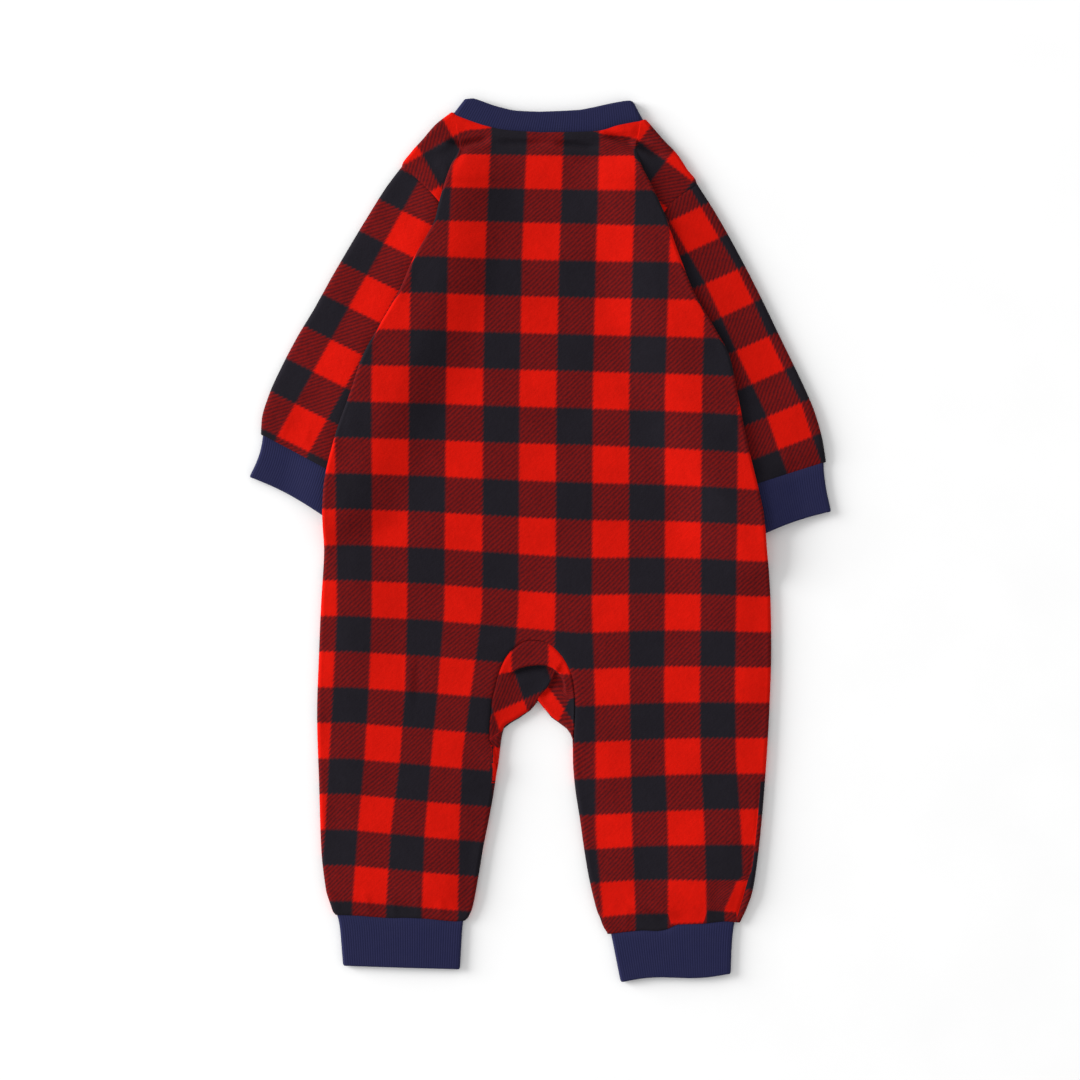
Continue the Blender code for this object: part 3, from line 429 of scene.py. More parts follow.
# The lower side of the gusset's rolled fold, and the line where the left half below it
# laps over the right half: x, y and how full the fold is there
GUSSET_LIP = (
    (-36.0, -93.0, 0.0), (-22.0, -91.0, 0.0), (-18.4, -90.2, 0.4), (-14.7, -87.7, 0.8), (-8.5, -86.1, 1.0),
    (-1.0, -85.3, 1.0), (4.6, -85.8, 1.0), (8.9, -87.7, 1.0), (12.6, -90.8, 1.0), (15.8, -95.1, 1.0),
    (17.0, -99.5, 0.9), (16.9, -102.5, 0.4), (18.5, -105.5, 0.0), (28.0, -107.0, 0.0),
)
GUSSET_LAP = (
    (-3.0, -112.0, 0.9), (-1.0, -106.9, 1.0), (4.6, -101.4, 1.0), (6.5, -98.2, 1.0), (9.6, -93.2, 0.9),
    (12.0, -89.0, 0.5),
)
# A fold's rise and its width on the upper side, then its drop and width below the line
LIP_FOLD = (1.1, 3.6, 3.0, 5.5)
LAP_FOLD = (0.6, 3.0, 2.4, 5.5)
FOLD_EDGE = 0.9            # width of the step between them
FOLD_EDGE_ABOVE = 0.3      # share of that step on the fold's upper side
GUSSET_DEEPEST = 3.1       # the cloth sinks no more than this
# Below this line, from x and y and rising by the slope, the left end is the front's cloth
GUSSET_FOOT = (-32.3, -134.8, 0.69)
FOOT_STEP = 1.2            # width over which the check changes there
TURN_STEP = 0.6            # and at a fold's edge
TURN_BLEND = 8.0           # and where that fold has ended

SIGN = {"left": -1, "right": 1}
SIDES = ("left", "right")


# ------------------------------------------------------------------ colours and light
def linear(red, green, blue):
    """A colour given in display values from 0 to 255, as the linear one a shader takes."""
    values = []
    for value in (red, green, blue):
        c = value / 255
        values.append(c / 12.92 if c <= 0.04045 else ((c + 0.055) / 1.055) ** 2.4)
    return (*values, 1.0)


SQUARE_RED = linear(200, 18, 6)
SQUARE_NAVY = linear(29, 27, 33)
TWILL_RED = linear(126, 19, 15)
TWILL_DARK = linear(54, 16, 22)
RIB_CREST = linear(34, 36, 70)
# The valleys' colour is darker than the crests': painted shade in the valleys between the ribs.
RIB_VALLEY_SHADE = linear(29, 30, 61)
RIB_WORN = linear(42, 42, 71)
CAP_RED = linear(150, 30, 30)
CAP_RUBBED = linear(176, 60, 54)
FLOOR_PALE = linear(244, 244, 244)
FLOOR_WHITE = linear(250, 250, 250)
FLOOR_SIZE = 12.0          # metres from the middle of the floor to its edge
FLOOR_DROP = 0.0002        # the floor lies this much below the cloth
FILL_LIGHT = 0.67
# Soft lights: name, watts, size and place, in metres
LAMPS = (
    ("key", 1400.0, 5.8, (-8.94, 2.90, 3.42)),
)
LENS = 135.0
SENSOR = 36.0
FRAME_WIDTH = 0.7376       # width of what the camera sees, at the cloth
CAMERA_LEVEL = 0.006       # height above the floor at which it sees that much


COLUMN_LINES = (0, 2, 4, 5, 7, 9, 10, 11, 13)
COLUMN_PLACES = (
    (273.2, -133.2, -83.3, -33.5, -8.8, 40.6, 90.2, 115.1, 140.0, 189.8),
    (228.8, -135.9, -86.1, -36.2, -10.9, 39.6, 89.5, 114.4, 139.3, 189.1),
    (191.2, -138.6, -88.1, -37.6, -12.3, 38.2, 88.1, 113.0, 138.0, 187.8),
    (102.5, -140.0, -89.5, -38.9, -13.9, 36.2, 85.4, 110.3, 135.2, 185.0),
    (-47.8, -138.6, -90.8, -39.6, -14.6, 35.5, 85.4, 109.6, 133.9, 183.7),
    (-102.5, -141.4, -92.2, -47.1, -20.5, 37.6, 84.7, 109.0, 133.2, 183.0),
    (-150.3, -144.1, -95.6, -53.3, -33.0, 38.2, 85.4, 109.6, 133.9, 183.7),
    (-198.1, -146.8, -101.8, -55.3, -32.0, 38.2, 87.4, 112.3, 137.3, 187.1),
    (-230.5, -149.6, -103.9, -55.8, -32.0, 41.0, 87.4, 113.0, 138.6, 188.4),
    (-233.5, -149.8, -104.1, -55.9, -32.0, 41.2, 87.4, 113.3, 134.0, 183.8),
    (-252.0, -151.3, -105.3, -56.2, -32.0, 42.8, 87.4, 113.8, 125.9, 175.7),
)
# Lines between its rows: x, then where these lines lie in y; line -1 has its own curve
ROW_LINES = (-1, 0, 2, 3, 8, 13, 18, 20, 21)
ROW_PLACES = (
    (-129.8, 263.0, 218.0, 193.3, 69.7, -51.9, -173.5, -222.2, -246.6),
    (-75.1, 263.0, 217.5, 193.3, 68.3, -54.6, -178.9, -227.2, -251.3),
    (-27.3, 263.0, 217.2, 191.9, 66.3, -58.7, -183.0, -231.3, -255.4),
    (27.3, 262.3, 216.0, 190.6, 64.9, -63.5, -188.5, -235.0, -259.5),
    (61.5, 262.3, 214.5, 189.9, 63.5, -62.2, -186.5, -232.4, -255.4),
    (87.0, 262.3, 214.2, 189.4, 62.6, -61.7, -185.1, -232.0, -255.0),
    (89.5, 262.3, 214.1, 189.4, 62.5, -61.6, -185.0, -232.0, -262.5),
    (112.0, 262.3, 214.0, 189.0, 61.2, -61.9, -184.2, -232.3, -261.5),
    (114.5, 262.3, 214.0, 189.0, 61.0, -61.9, -184.2, -232.3, -252.8),
    (134.2, 262.3, 214.0, 188.7, 59.6, -62.4, -183.9, -232.5, -254.2),
    (134.9, 262.3, 214.0, 188.7, 59.5, -62.4, -183.9, -232.5, -266.0),
    (146.8, 262.3, 214.0, 188.5, 58.5, -62.8, -183.7, -232.6, -266.0),
)
TOP_LINE = Curve([
    (-75.0, 276.0), (-58.7, 276.7), (-47.0, 279.7), (-35.7, 281.3), (-27.3, 283.0), (27.3, 282.0),
    (42.6, 277.4), (54.5, 275.9), (66.5, 271.5), (80.0, 266.0),
])
# Cloth that lies turned: a point in x and y, its place in squares, and one square
# across and one down, as steps in x and y
TURNED = {
    ("wing", "left"): ((-80.5, 263.4), (2.0, -1.0), (20.8, 12.0), (12.1, -21.9)),
    ("wing", "right"): ((86.0, 258.7), (9.0, -1.0), (18.1, -13.7), (-15.0, -20.0)),
    ("lip", ""): ((-19.5, -91.5), (0.0, 1.0), (25.3, 0.0), (0.0, -25.0)),
    ("lap", "left"): ((-11.2, -109.1), (0.0, 2.0), (20.5, 9.0), (7.6, -22.0)),
    ("lap", "right"): ((16.7, -115.6), (2.0, 2.0), (14.2, -19.4), (-10.5, -22.0)),
}
# The sleeves' check: place down the sleeve in squares, where column 1 starts there in x
# and y, and one square across as a step in x and y
SLEEVE_CHECK = {
    "left": ((0.0, -94.05, 224.7, 21.75, -10.84), (8.0, -191.4, 49.1, 21.75, -10.84)),
    "right": (
        (0.0, 88.6, 217.4, 21.1, 10.4), (2.0, 112.9, 175.1, 22.0, 9.6), (3.0, 123.7, 151.9, 22.2, 10.4),
        (4.0, 133.8, 129.1, 22.3, 9.9), (5.0, 144.6, 106.4, 22.3, 9.9), (6.0, 155.0, 84.1, 23.2, 9.6),
        (7.0, 162.8, 61.7, 23.0, 9.0), (8.0, 171.2, 39.2, 22.4, 8.4),
    ),
}
# The main check gives way to a wing's over this width at the folds' tips and at the neck
WING_BLEND = (4.0, 16.0)
# The left front's cloth shows beyond this x along the inseam, between these heights
STRIP_EDGE = -33.0
STRIP_TOP = -141.0
STRIP_FOOT = -168.0
STRIP_STEP = 0.6           # width over which the check changes there
FRONT_CHECK = 1.77         # squares by which the fronts' check is shifted down
SQUARE = 25.04             # side of a square
NECK_BLEND_FROM = 262.0    # y from which the blend widens
NECK_BLEND_DEPTH = 12.0
# The right leg's side seam lies on top near the ankle: y, x, and the squares by which the
# check jumps there
SIDE_SEAM = Curve([
    (-164.0, 150.6), (-190.0, 149.0), (-208.8, 147.4), (-222.5, 145.4), (-231.6, 142.2), (-245.3, 138.3),
    (-262.0, 133.4),
])
SIDE_SEAM_STEP = (0.9, -0.19)
SIDE_SEAM_LEAST = 0.6      # the line lies at least this far from the side's bend
# Search for a place down a sleeve: from and to, in squares, and number of halvings
SLEEVE_SEARCH = (-6.0, 14.0, 24)


def between(places, at):
    """The two neighbouring entries of a table for a place, and the share between them."""
    order = 1 if places[-1][0] > places[0][0] else -1
    last = len(places) - 2
    k = next((i for i in range(last) if order * at <= order * places[i + 1][0]), last)
    span = places[k + 1][0] - places[k][0]
    return places[k][1:], places[k + 1][1:], clamp((at - places[k][0]) / span)


def along_lines(numbers, places, at):
    """Place in squares among numbered lines; it goes on evenly past the last one."""
    order = 1 if places[-1] > places[0] else -1
    k = 0
    while k < len(places) - 2 and order * at > order * places[k + 1]:
        k += 1
    share = (at - places[k]) / (places[k + 1] - places[k])
    return numbers[k] + share * (numbers[k + 1] - numbers[k])


def main_check(x, y):
    """Place of a point of the body in squares, across and down."""
    a, b, share = between(COLUMN_PLACES, y)
    across = mix(along_lines(COLUMN_LINES, a, x), along_lines(COLUMN_LINES, b, x), share)
    a, b, share = between(ROW_PLACES, x)
    top = TOP_LINE(x)
    down = mix(along_lines(ROW_LINES, (top, *a), y), along_lines(ROW_LINES, (top, *b), y), share)
    return across, down


def turned_check(kind, side, x, y):
    """Place in squares on cloth that lies turned."""
    (x0, y0), (u0, v0), (ax, ay), (dx, dy) = TURNED[kind, side]
    area = ax * dy - ay * dx
    px, py = x - x0, y - y0
    return u0 + (px * dy - py * dx) / area, v0 + (ax * py - ay * px) / area


def sleeve_check(side, x, y):
    """Place on a sleeve's cloth in squares, by halving between the ends of its table."""
    table = SLEEVE_CHECK[side]

    def row_at(down):
        k = 0
        while k < len(table) - 2 and down > table[k + 1][0]:
            k += 1
        share = (down - table[k][0]) / (table[k + 1][0] - table[k][0])
        return [mix(a, b, share) for a, b in zip(table[k][1:], table[k + 1][1:])]

    first, last, halvings = SLEEVE_SEARCH
    for _ in range(halvings):
        down = (first + last) / 2
        x0, y0, step_x, step_y = row_at(down)
        if (x - x0) * step_y - (y - y0) * step_x > 0:
            first = down
        else:
            last = down
    across = ((x - x0) * step_x + (y - y0) * step_y) / (step_x**2 + step_y**2)
    return across + 1.0, down


# ----------------------------------------------------------------- relief of the cloth
# Ridges (+) and valleys (-) on the cloth that shows: ends in x and y, half width, height
CREASES = (
    (44.0, 277.0, 67.0, 270.4, 2.3, -3.4),
    (66.0, 270.6, 85.0, 261.4, 2.5, -3.6),
    (48.0, 281.4, 74.0, 276.4, 3.0, 1.2),
    (72.0, 273.6, 90.0, 265.2, 3.0, 1.4),
    (44.0, 271.6, 63.0, 266.0, 2.8, 0.8),
    (-63.0, 272.4, -51.0, 270.0, 2.2, -3.2),
    (-54.0, 270.4, -35.0, 273.8, 2.2, -2.9),
    (-72.0, 265.0, -60.0, 272.6, 2.6, 1.1),
    (-54.0, 265.8, -34.0, 268.6, 2.8, 0.9),
    (-32.0, 271.6, 6.0, 270.4, 2.4, -1.9),
    (10.0, 271.2, 42.0, 267.6, 2.3, -2.4),
    (-8.0, 266.4, 32.0, 264.8, 3.0, 0.7),
    (-60.0, 258.0, -30.0, 262.0, 4.5, 0.5),
    (-76.0, 262.0, -66.0, 246.0, 3.0, -0.8),
    (60.0, -247.0, 92.0, -257.0, 3.2, 0.9),
    (82.0, 254.0, 88.0, 240.0, 3.0, -0.5),
    (8.0, 171.0, 48.0, 168.0, 5.0, 0.4),
    (-12.0, 160.0, 30.0, 156.0, 6.0, -0.35),
    (-83.3, -80.0, -84.0, -112.0, 2.6, -0.5),
    (-88.5, -76.0, -90.0, -116.0, 3.4, 0.5),
    (-54.0, -126.0, -38.0, -140.0, 3.2, 0.5),
    (-56.0, -136.0, -40.0, -152.0, 3.2, -0.4),
    (-60.0, -150.0, -42.0, -166.0, 4.0, 0.4),
    (150.0, -164.0, 147.2, -208.0, 1.1, -0.5),
    (147.2, -208.0, 142.0, -231.6, 1.1, -0.5),
    (142.0, -231.6, 133.6, -261.0, 1.2, -0.7),
    (124.0, -233.0, 116.0, -250.0, 3.4, -0.5),
    (133.0, -236.0, 127.0, -252.0, 2.6, 0.5),
    (72.0, -251.0, 90.0, -262.0, 1.7, -1.0),
    (74.0, -246.5, 95.0, -256.0, 3.0, 0.8),
    (-120.0, -240.0, -116.0, -258.0, 2.6, 0.5),
    (-101.0, -243.0, -99.0, -259.0, 2.4, 0.4),
    (-84.0, -240.0, -83.0, -259.0, 2.8, 0.5),
    (-68.0, -244.0, -67.0, -259.0, 2.2, 0.4),
    (118.0, -240.0, 114.0, -261.0, 2.8, 0.4),
    (60.0, -250.0, 58.0, -266.0, 2.2, 0.4),
    (96.0, 232.0, 132.0, 196.0, 5.0, 0.4),
    (-92.0, 228.0, -120.0, 196.0, 5.5, 0.4),
    (150.0, 96.0, 178.0, 84.0, 4.5, 0.4),
    (-150.0, 108.0, -172.0, 92.0, 4.5, 0.4),
    (-172.0, 84.0, -176.0, 72.0, 2.2, 0.4),
    (-158.0, 78.0, -161.0, 64.0, 2.4, 0.4),
    (166.0, 66.0, 170.0, 50.0, 2.6, 0.4),
    (-118.0, 60.0, -142.0, 96.0, 7.0, 0.4),
    (112.0, 60.0, 138.0, 92.0, 7.0, 0.4),
    (-100.0, -20.0, -142.0, -34.0, 9.0, 0.5),
    (96.0, -16.0, 148.0, -30.0, 9.0, 0.5),
    (22.0, -58.0, 44.0, -38.0, 6.0, 0.5),
    (-34.0, -60.0, -58.0, -42.0, 6.0, 0.5),
)
# The same on the side that lies down
HIDDEN_CREASES = (
    (-40.0, 200.0, -96.0, 120.0, 8.0, -0.5),
    (52.0, 190.0, 104.0, 110.0, 8.0, -0.5),
    (-120.0, -30.0, -60.0, -60.0, 8.0, -0.5),
    (118.0, -40.0, 50.0, -66.0, 8.0, -0.5),
    (-90.0, -150.0, -100.0, -220.0, 7.0, -0.5),
    (92.0, -160.0, 84.0, -226.0, 7.0, -0.5),
)
# Long soft waves: direction in degrees, length, height, shift
WAVES = (
    (20.0, 83.0, 0.16, 0.4), (75.0, 61.0, 0.14, 1.9), (-38.0, 47.0, 0.11, 3.1),
    (110.0, 29.0, 0.06, 0.8),
)
# The neck seam's allowance: its width, that of its edge, and its height
NECK_ALLOWANCE = (6.8, 1.6, 0.3)


def crease_height(creases, x, y):
    height = 0.0
    for x0, y0, x1, y1, width, rise in creases:
        dx, dy = x1 - x0, y1 - y0
        length = math.hypot(dx, dy)
        along = ((x - x0) * dx + (y - y0) * dy) / length
        across = abs((x - x0) * dy - (y - y0) * dx) / length
        if across > 3 * width or along < -width or along > length + width:
            continue
        ramp = length / 3 + width
        ends = smooth((along + width) / ramp) * smooth((length + width - along) / ramp)
        height += rise * ends * math.exp(-((across / width) ** 2))
    return height


def relief(upper, x, y):
    """Rise of the cloth outwards from its smooth shape."""
    height = crease_height(CREASES if upper else HIDDEN_CREASES, x, y)
    for degrees, length, rise, shift in WAVES:
        turn = math.radians(degrees)
        height += rise * math.sin(2 * math.pi * (x * math.cos(turn) + y * math.sin(turn)) / length + shift)
    if not upper:
        return min(0.0, height - HIDDEN_DENT)
    width, edge, rise = NECK_ALLOWANCE
    below_neck = NECK["left" if x < 0 else "right"](abs(x)) - y
    return height + rise * smooth((width - below_neck) / edge)


def beside(line, x, y):
    """Distance to the right of a line of (x, y, value) points, and the line's value there."""
    nearest = None
    for (x0, y0, v0), (x1, y1, v1) in zip(line, line[1:]):
        dx, dy = x1 - x0, y1 - y0
        share = clamp(((x - x0) * dx + (y - y0) * dy) / (dx * dx + dy * dy))
        away = math.hypot(x - x0 - share * dx, y - y0 - share * dy)
        if nearest is None or away < nearest[0]:
            right = (x - x0) * dy - (y - y0) * dx > 0
            nearest = (away, right, mix(v0, v1, share))
    away, right, value = nearest
    return (away if right else -away), value


def folded(line, shape, x, y):
    """Rise beside a fold's line: a roll on its left and a hollow under its edge."""
    rise, rise_width, drop, drop_width = shape
    past, full = beside(line, x, y)
    roll = rise * math.exp(-((past / rise_width) ** 2))
    hollow = -drop * math.exp(-((past / drop_width) ** 2))
    return full * mix(roll, hollow, smooth(past / FOLD_EDGE + FOLD_EDGE_ABOVE))


def gusset_relief(x, y):
    rise = folded(GUSSET_LIP, LIP_FOLD, x, y) + folded(GUSSET_LAP, LAP_FOLD, x, y)
    return max(-GUSSET_DEEPEST, rise)


# ----------------------------------------------------------------- sheets of cloth
class Sheet:
    """The middle surface of a cloth piece. Points that coincide are shared.

    A row's entries are (point, place on the cloth, layer, rise): the layer is 1 on the
    upper side and -1 on the lower one, and the relief's rise is added after the normals.
    """

    def __init__(self):
        self.points = []
        self.cloth = []
        self.layer = []
        self.rise = []
        self.index = {}
        self.faces = []
        self.corners = []
        self.free = set()
        self.under = set()

    def add(self, point, cloth, layer, rise):
        key = tuple(round(c, 2) for c in point)
        if key not in self.index:
            self.index[key] = len(self.points)
            self.points.append(point)
            self.cloth.append(cloth)
            self.layer.append(layer)
            self.rise.append(rise)
        return self.index[key]

    def grid(self, rows, flip=False, under=None, free_end=False):
        """Faces between neighbouring rows; corners that coincide are dropped.

        under says which end goes in under its neighbour, the first "row" or "column",
        and with free_end the last row is a hem.
        """
        numbered = []
        for row in rows:
            numbered.append([self.add(*entry) for entry in row])
        if free_end:
            self.free.update(numbered[-1])
        if under:
            self.under.update(numbered[0] if under == "row" else [row[0] for row in numbered])
        for j in range(len(rows) - 1):
            for k in range(len(rows[j]) - 1):
                spots = [(j, k), (j + 1, k), (j + 1, k + 1), (j, k + 1)]
                if flip:
                    spots.reverse()
                corners = [(numbered[a][b], rows[a][b][1]) for a, b in spots]
                ring = [c for i, c in enumerate(corners) if c[0] != corners[i - 1][0]]
                if len({c[0] for c in ring}) == len(ring) > 2:
                    self.faces.append([c[0] for c in ring])
                    self.corners.append([c[1] for c in ring])


def reach_from(sources, points, faces):
    """Distance of each point from the nearest source along the cloth, up to EDGE_REACH."""
    neighbours = {}
    for face in faces:
        for a, b in zip(face, face[1:] + face[:1]):
            neighbours.setdefault(a, set()).add(b)
            neighbours.setdefault(b, set()).add(a)
    found = np.full(len(points), EDGE_REACH)
    heap = [(0.0, s) for s in sources]
    found[list(sources)] = 0.0
    while heap:
        far, a = heapq.heappop(heap)
        if far > found[a]:
            continue
        for b in neighbours[a]:
            onward = far + math.dist(points[a], points[b])
            if onward < found[b]:
                found[b] = onward
                heapq.heappush(heap, (onward, b))
    return found


def vertex_normals(points, faces):
    """Unit normal of each point, from the faces around it."""
    quads = np.array([face + face[-1:] * (4 - len(face)) for face in faces])
    p = points[quads]
    normals = np.cross(p[:, 2] - p[:, 0], p[:, 3] - p[:, 1])
    triangles = quads[:, 3] == quads[:, 2]
    normals[triangles] = np.cross(p[triangles, 1] - p[triangles, 0], p[triangles, 2] - p[triangles, 0])
    total = np.zeros_like(points)
    for k in range(4):
        rows = slice(None) if k < 3 else ~triangles
        np.add.at(total, quads[rows, k], normals[rows])
    return total / np.maximum(np.linalg.norm(total, axis=1, keepdims=True), 1e-12)


def shell(name, sheet, thickness, rib=None):
    """A closed shell about the sheet. Its seam edges dip, and all its edges are rounded."""
    points = np.array(sheet.points)
    normals = vertex_normals(points, sheet.faces)
    faces, corners = sheet.faces, sheet.corners
    if (normals[:, 2] * np.array(sheet.layer)).sum() < 0:
        normals = -normals
        faces = [face[::-1] for face in faces]
        corners = [face[::-1] for face in corners]
    edges = {}
    for face, places in zip(faces, corners):
        for k in range(len(face)):
            a, b = face[k], face[(k + 1) % len(face)]
            edges[a, b] = (places[k], places[(k + 1) % len(face)])
    rim = [pair for pair in edges if pair[::-1] not in edges]
    border = {a for pair in rim for a in pair}
    seam = border - sheet.free - sheet.under
    to_edge = reach_from(border, sheet.points, faces)
    to_seam = reach_from(seam, sheet.points, faces)
    to_under = reach_from(sheet.under, sheet.points, faces)
    round_off = np.clip(1 - to_edge / (thickness * EDGE_ROUND), 0, 1)
    half = thickness / 2 * np.sqrt(np.maximum(1 - round_off**2, EDGE_LEAST))
    sink = OVER_DIP * np.exp(-((to_seam / OVER_WIDTH) ** 2))
    sink += UNDER_DIP * np.exp(-((to_under / UNDER_WIDTH) ** 2))
    middle = points.copy()
    middle[:, 2] += np.array(sheet.rise) - sink * normals[:, 2] * np.abs(normals[:, 2])
    outer = half.copy()
    if rib:
        outer += rib(np.array(sheet.cloth)) * np.clip(to_edge / RIB_FADE, 0, 1)
    count = len(points)
    shape = np.vstack([middle + normals * outer[:, None], middle - normals * half[:, None]]) * MM
    shape[:, 2] = np.maximum(shape[:, 2], 0.0)
    all_faces = faces + [[a + count for a in face[::-1]] for face in faces]
    all_corners = corners + [face[::-1] for face in corners]
    for a, b in rim:
        at_a, at_b = edges[a, b]
        all_faces.append([b, a, a + count, b + count])
        all_corners.append([at_b, at_a, at_a, at_b])
    mesh = bpy.data.meshes.new(name)
    mesh.from_pydata(shape.tolist(), [], all_faces)
    check = mesh.uv_layers.new(name="cloth")
    check.data.foreach_set("uv", np.array([c for face in all_corners for c in face]).ravel())
    mesh.shade_smooth()
    mesh.validate()
    return add_object(name, mesh)


# ------------------------------------------------------------- heights of the cloth
def fold_drop(side, y):
    """How far the cloth steps from the body's edge down to the layer that goes on."""
    closed = FOLD[side]["closed"](y)
    width = FOLD[side]["width"](y)
    turn = math.pi * closed
    return 2 * BEND * (1 - math.cos(turn)) + width * math.sin(turn)


def lift(side, y):
    """How much a sleeve is raised at the body's edge, in pairs of layers."""
    if y < ARMPIT:
        return 1.0
    return fold_drop(side, y) / (2 * LAYER)


def lift_at(side, u, y):
    away = max(0.0, u - BODY[side](y))
    return lift(side, y) * (1 - smooth(away / FALL))


def low(side, u, y):
    """Middle of the sleeve's lower layer, and of the front outside its fold."""
    return FLOOR + 2 * LAYER * lift_at(side, u, y)


def high(side, u, y):
    """Middle of the sleeve's upper layer, and of the back outside its fold."""
    apart = mix(SIDE_TOP - FLOOR, LAYER, min(1.0, lift_at(side, u, y)))
    return low(side, u, y) + apart


def at_ankle(y):
    """How far the cloth has come down to the height of the ankle cuffs."""
    return smooth((ANKLE_FALL_FROM - y) / ANKLE_FALL)


def plain_top(y):
    """Middle of the back beside a seam with nothing but the front under it."""
    return mix(SIDE_TOP, ANKLE_TOP, at_ankle(y))


def edge_top(side, y):
    """Middle of the back where it reaches the body's visible edge."""
    if y >= ARMPIT:
        return high(side, BODY[side](y), y) + fold_drop(side, y)
    return mix(plain_top(y), STACK_TOP, FOLD[side]["stack"](y))


def crown_top(row):
    """Middle of the back in the middle of body and legs."""
    neck = mix(CROWN, SIDE_TOP, smooth((row - CROWN_END) / CROWN_FALL))
    return mix(neck, ANKLE_TOP + CUFF_PUFF, at_ankle(row))


def tuck(side, y):
    """Distance from the visible edge in to the hidden fold."""
    closed = FOLD[side]["closed"](y)
    return closed * (FOLD[side]["width"](y) + 2 * BEND)


def back_level(side, u, row, y):
    """Middle of the back between the centre and its outer edge."""
    top = edge_top(side, y)
    stacked = smooth((top - SIDE_TOP) / (STACK_TOP - SIDE_TOP))
    inside = BODY[side](y) - FLEECE / 2 - u - stacked * (tuck(side, y) + FOLD_FLAT)
    return mix(top, crown_top(row), smooth(inside / mix(SIDE_RISE, FOLD_RISE, stacked)))


def lap_rise(side, u, y):
    """Rise of a front, or of the band, where the two sides lap."""
    full = LAP_UNDER if side == "left" else LAP_OVER
    along = smooth((y - LAP_FROM) / LAP_RISE)
    return full * along * (1 - smooth((u - LAP_FLAT) / LAP_SLOPE))


# -------------------------------------------------------------- finer rows and columns
def finer(places, step, seams=()):
    """The places, top to bottom, with more between them and closer ones beside each seam."""
    wanted = set(places)
    for upper, lower in zip(places, places[1:]):
        near_end = upper > FINE_ABOVE or lower < FINE_BELOW
        pieces = max(1, round((upper - lower) / (min(step, FINE_STEP) if near_end else step)))
        wanted.update(mix(upper, lower, k / pieces) for k in range(pieces))
    for at in seams:
        wanted.update(at + sign * offset for offset in NEAR_SEAM for sign in (-1, 1))
    inside = sorted((w for w in wanted if places[-1] <= w <= places[0]), reverse=True)
    kept = [inside[0]]
    for place in inside[1:]:
        if kept[-1] - place > LEAST_STEP:
            kept.append(place)
    return kept


def spread(a, b, steps):
    """Distances from a to b, with closer ones beside both ends."""
    span = b - a
    offsets = [
        min(offset, span * NEAR_SHARE * (k + 1) / len(NEAR_SEAM))
        for k, offset in enumerate(NEAR_SEAM)
    ]
    start, end = a + offsets[-1], b - offsets[-1]
    inner = [mix(start, end, k / steps) for k in range(1, steps)]
    return [a] + [a + o for o in offsets] + inner + [b - o for o in offsets[::-1]] + [b]


def arch_rows():
    """Rows that are evenly spaced along the arch above the leg gap."""
    return [mix(SPLIT["back"], ARCH_FOOT, (k / ARCH_STEPS) ** 2) for k in range(ARCH_STEPS + 1)]


def leg_edge(side, y):
    """Distance of the back's inner edge from the centre, with a round top to the arch."""
    if y < ARCH_FOOT:
        return BACK_INNER[side](y)
    top = BACK_INNER[side](SPLIT["back"])
    share = max(0.0, (SPLIT["back"] - y) / (SPLIT["back"] - ARCH_FOOT))
    return mix(top, BACK_INNER[side](ARCH_FOOT), share ** ARCH_POWER[side])


# -------------------------------------------------------------------- body panels
def armhole(side, y):
    """Distance of the armhole or shoulder seam from the centre."""
    if y >= WING_END[side]:
        return WING[side](y)
    hidden = BODY[side](y) - FLEECE / 2 - tuck(side, y) + STUB
    return mix(WING[side](WING_END[side]), hidden, smooth((WING_END[side] - y) / ARMHOLE_BLEND))


def curl_radius(top):
    """Radius of the curls of back and front where they meet, under a back of this height."""
    return (top - FLOOR - CURL_GAP) / 2


def near_neck(row):
    """Share of the way up the rows that bend to follow the neck seam."""
    return (row - NECK_BASE) / (TOP_ROWS[0] - NECK_BASE)


def near_ankle(row):
    """Share of the way down the rows that bend to follow the ankle seam."""
    return (ANKLE_BASE - row) / (ANKLE_BASE - LEG_ROWS[-1])


def near_tip(side, y):
    """How far the side's fold has faded out towards its tip."""
    return smooth((y - WING_TIP_Y[side]) / WING_TIP_DEPTH)


def row_heights(side, row):
    """The row's own heights at its inner and outer ends."""
    if row > NECK_BASE:
        t = near_neck(row)
        corner = CORNER_Y[side]
        return mix(NECK_BASE, corner - NECK_SLANT, t), mix(NECK_BASE, corner, t)
    if row < ANKLE_BASE:
        t = near_ankle(row)
        outer, inner = ANKLE_SEAM[side]
        return mix(ANKLE_BASE, inner[1] + GAP, t), mix(ANKLE_BASE, outer[1] + GAP, t)
    return row, row


def turn_arc(start, radius, begin, end):
    """Arc from one heading to another, in radians below outward, as (distance, drop)."""
    u, drop = start
    bend = radius if end > begin else -radius
    points = []
    for k in range(1, ARC_STEPS + 1):
        heading = mix(begin, end, k / ARC_STEPS)
        points.append((u + bend * (math.sin(heading) - math.sin(begin)),
                       drop + bend * (math.cos(begin) - math.cos(heading))))
    return points


def fold_profile(side, y, side_half, has_wing):
    """The side of a panel as (distance, drop) pairs, from the main part outwards."""
    closed = FOLD[side]["closed"](y)
    width = FOLD[side]["width"](y)
    full = 0.0 if has_wing else SIDE_FULL[side] * (1 - closed)
    if has_wing:
        first, last, radius = math.pi * closed, 0.0, BEND
    else:
        first, last = math.pi / 2 * (1 + closed), math.pi / 2
        radius = mix(min(side_half, SIDE_BEND), BEND, smooth(closed * 2))
    reach = radius * math.sin(min(first, math.pi / 2))
    profile = [(BODY[side](y) + full - FLEECE / 2 - reach, 0.0)]
    profile += turn_arc(profile[-1], radius, 0.0, first)
    u, drop = profile[-1]
    for k in range(1, HIDDEN_STEPS + 1):
        share = k / HIDDEN_STEPS
        profile.append((u + share * width * math.cos(first), drop + share * width * math.sin(first)))
    profile += turn_arc(profile[-1], radius, first, last)
    return profile


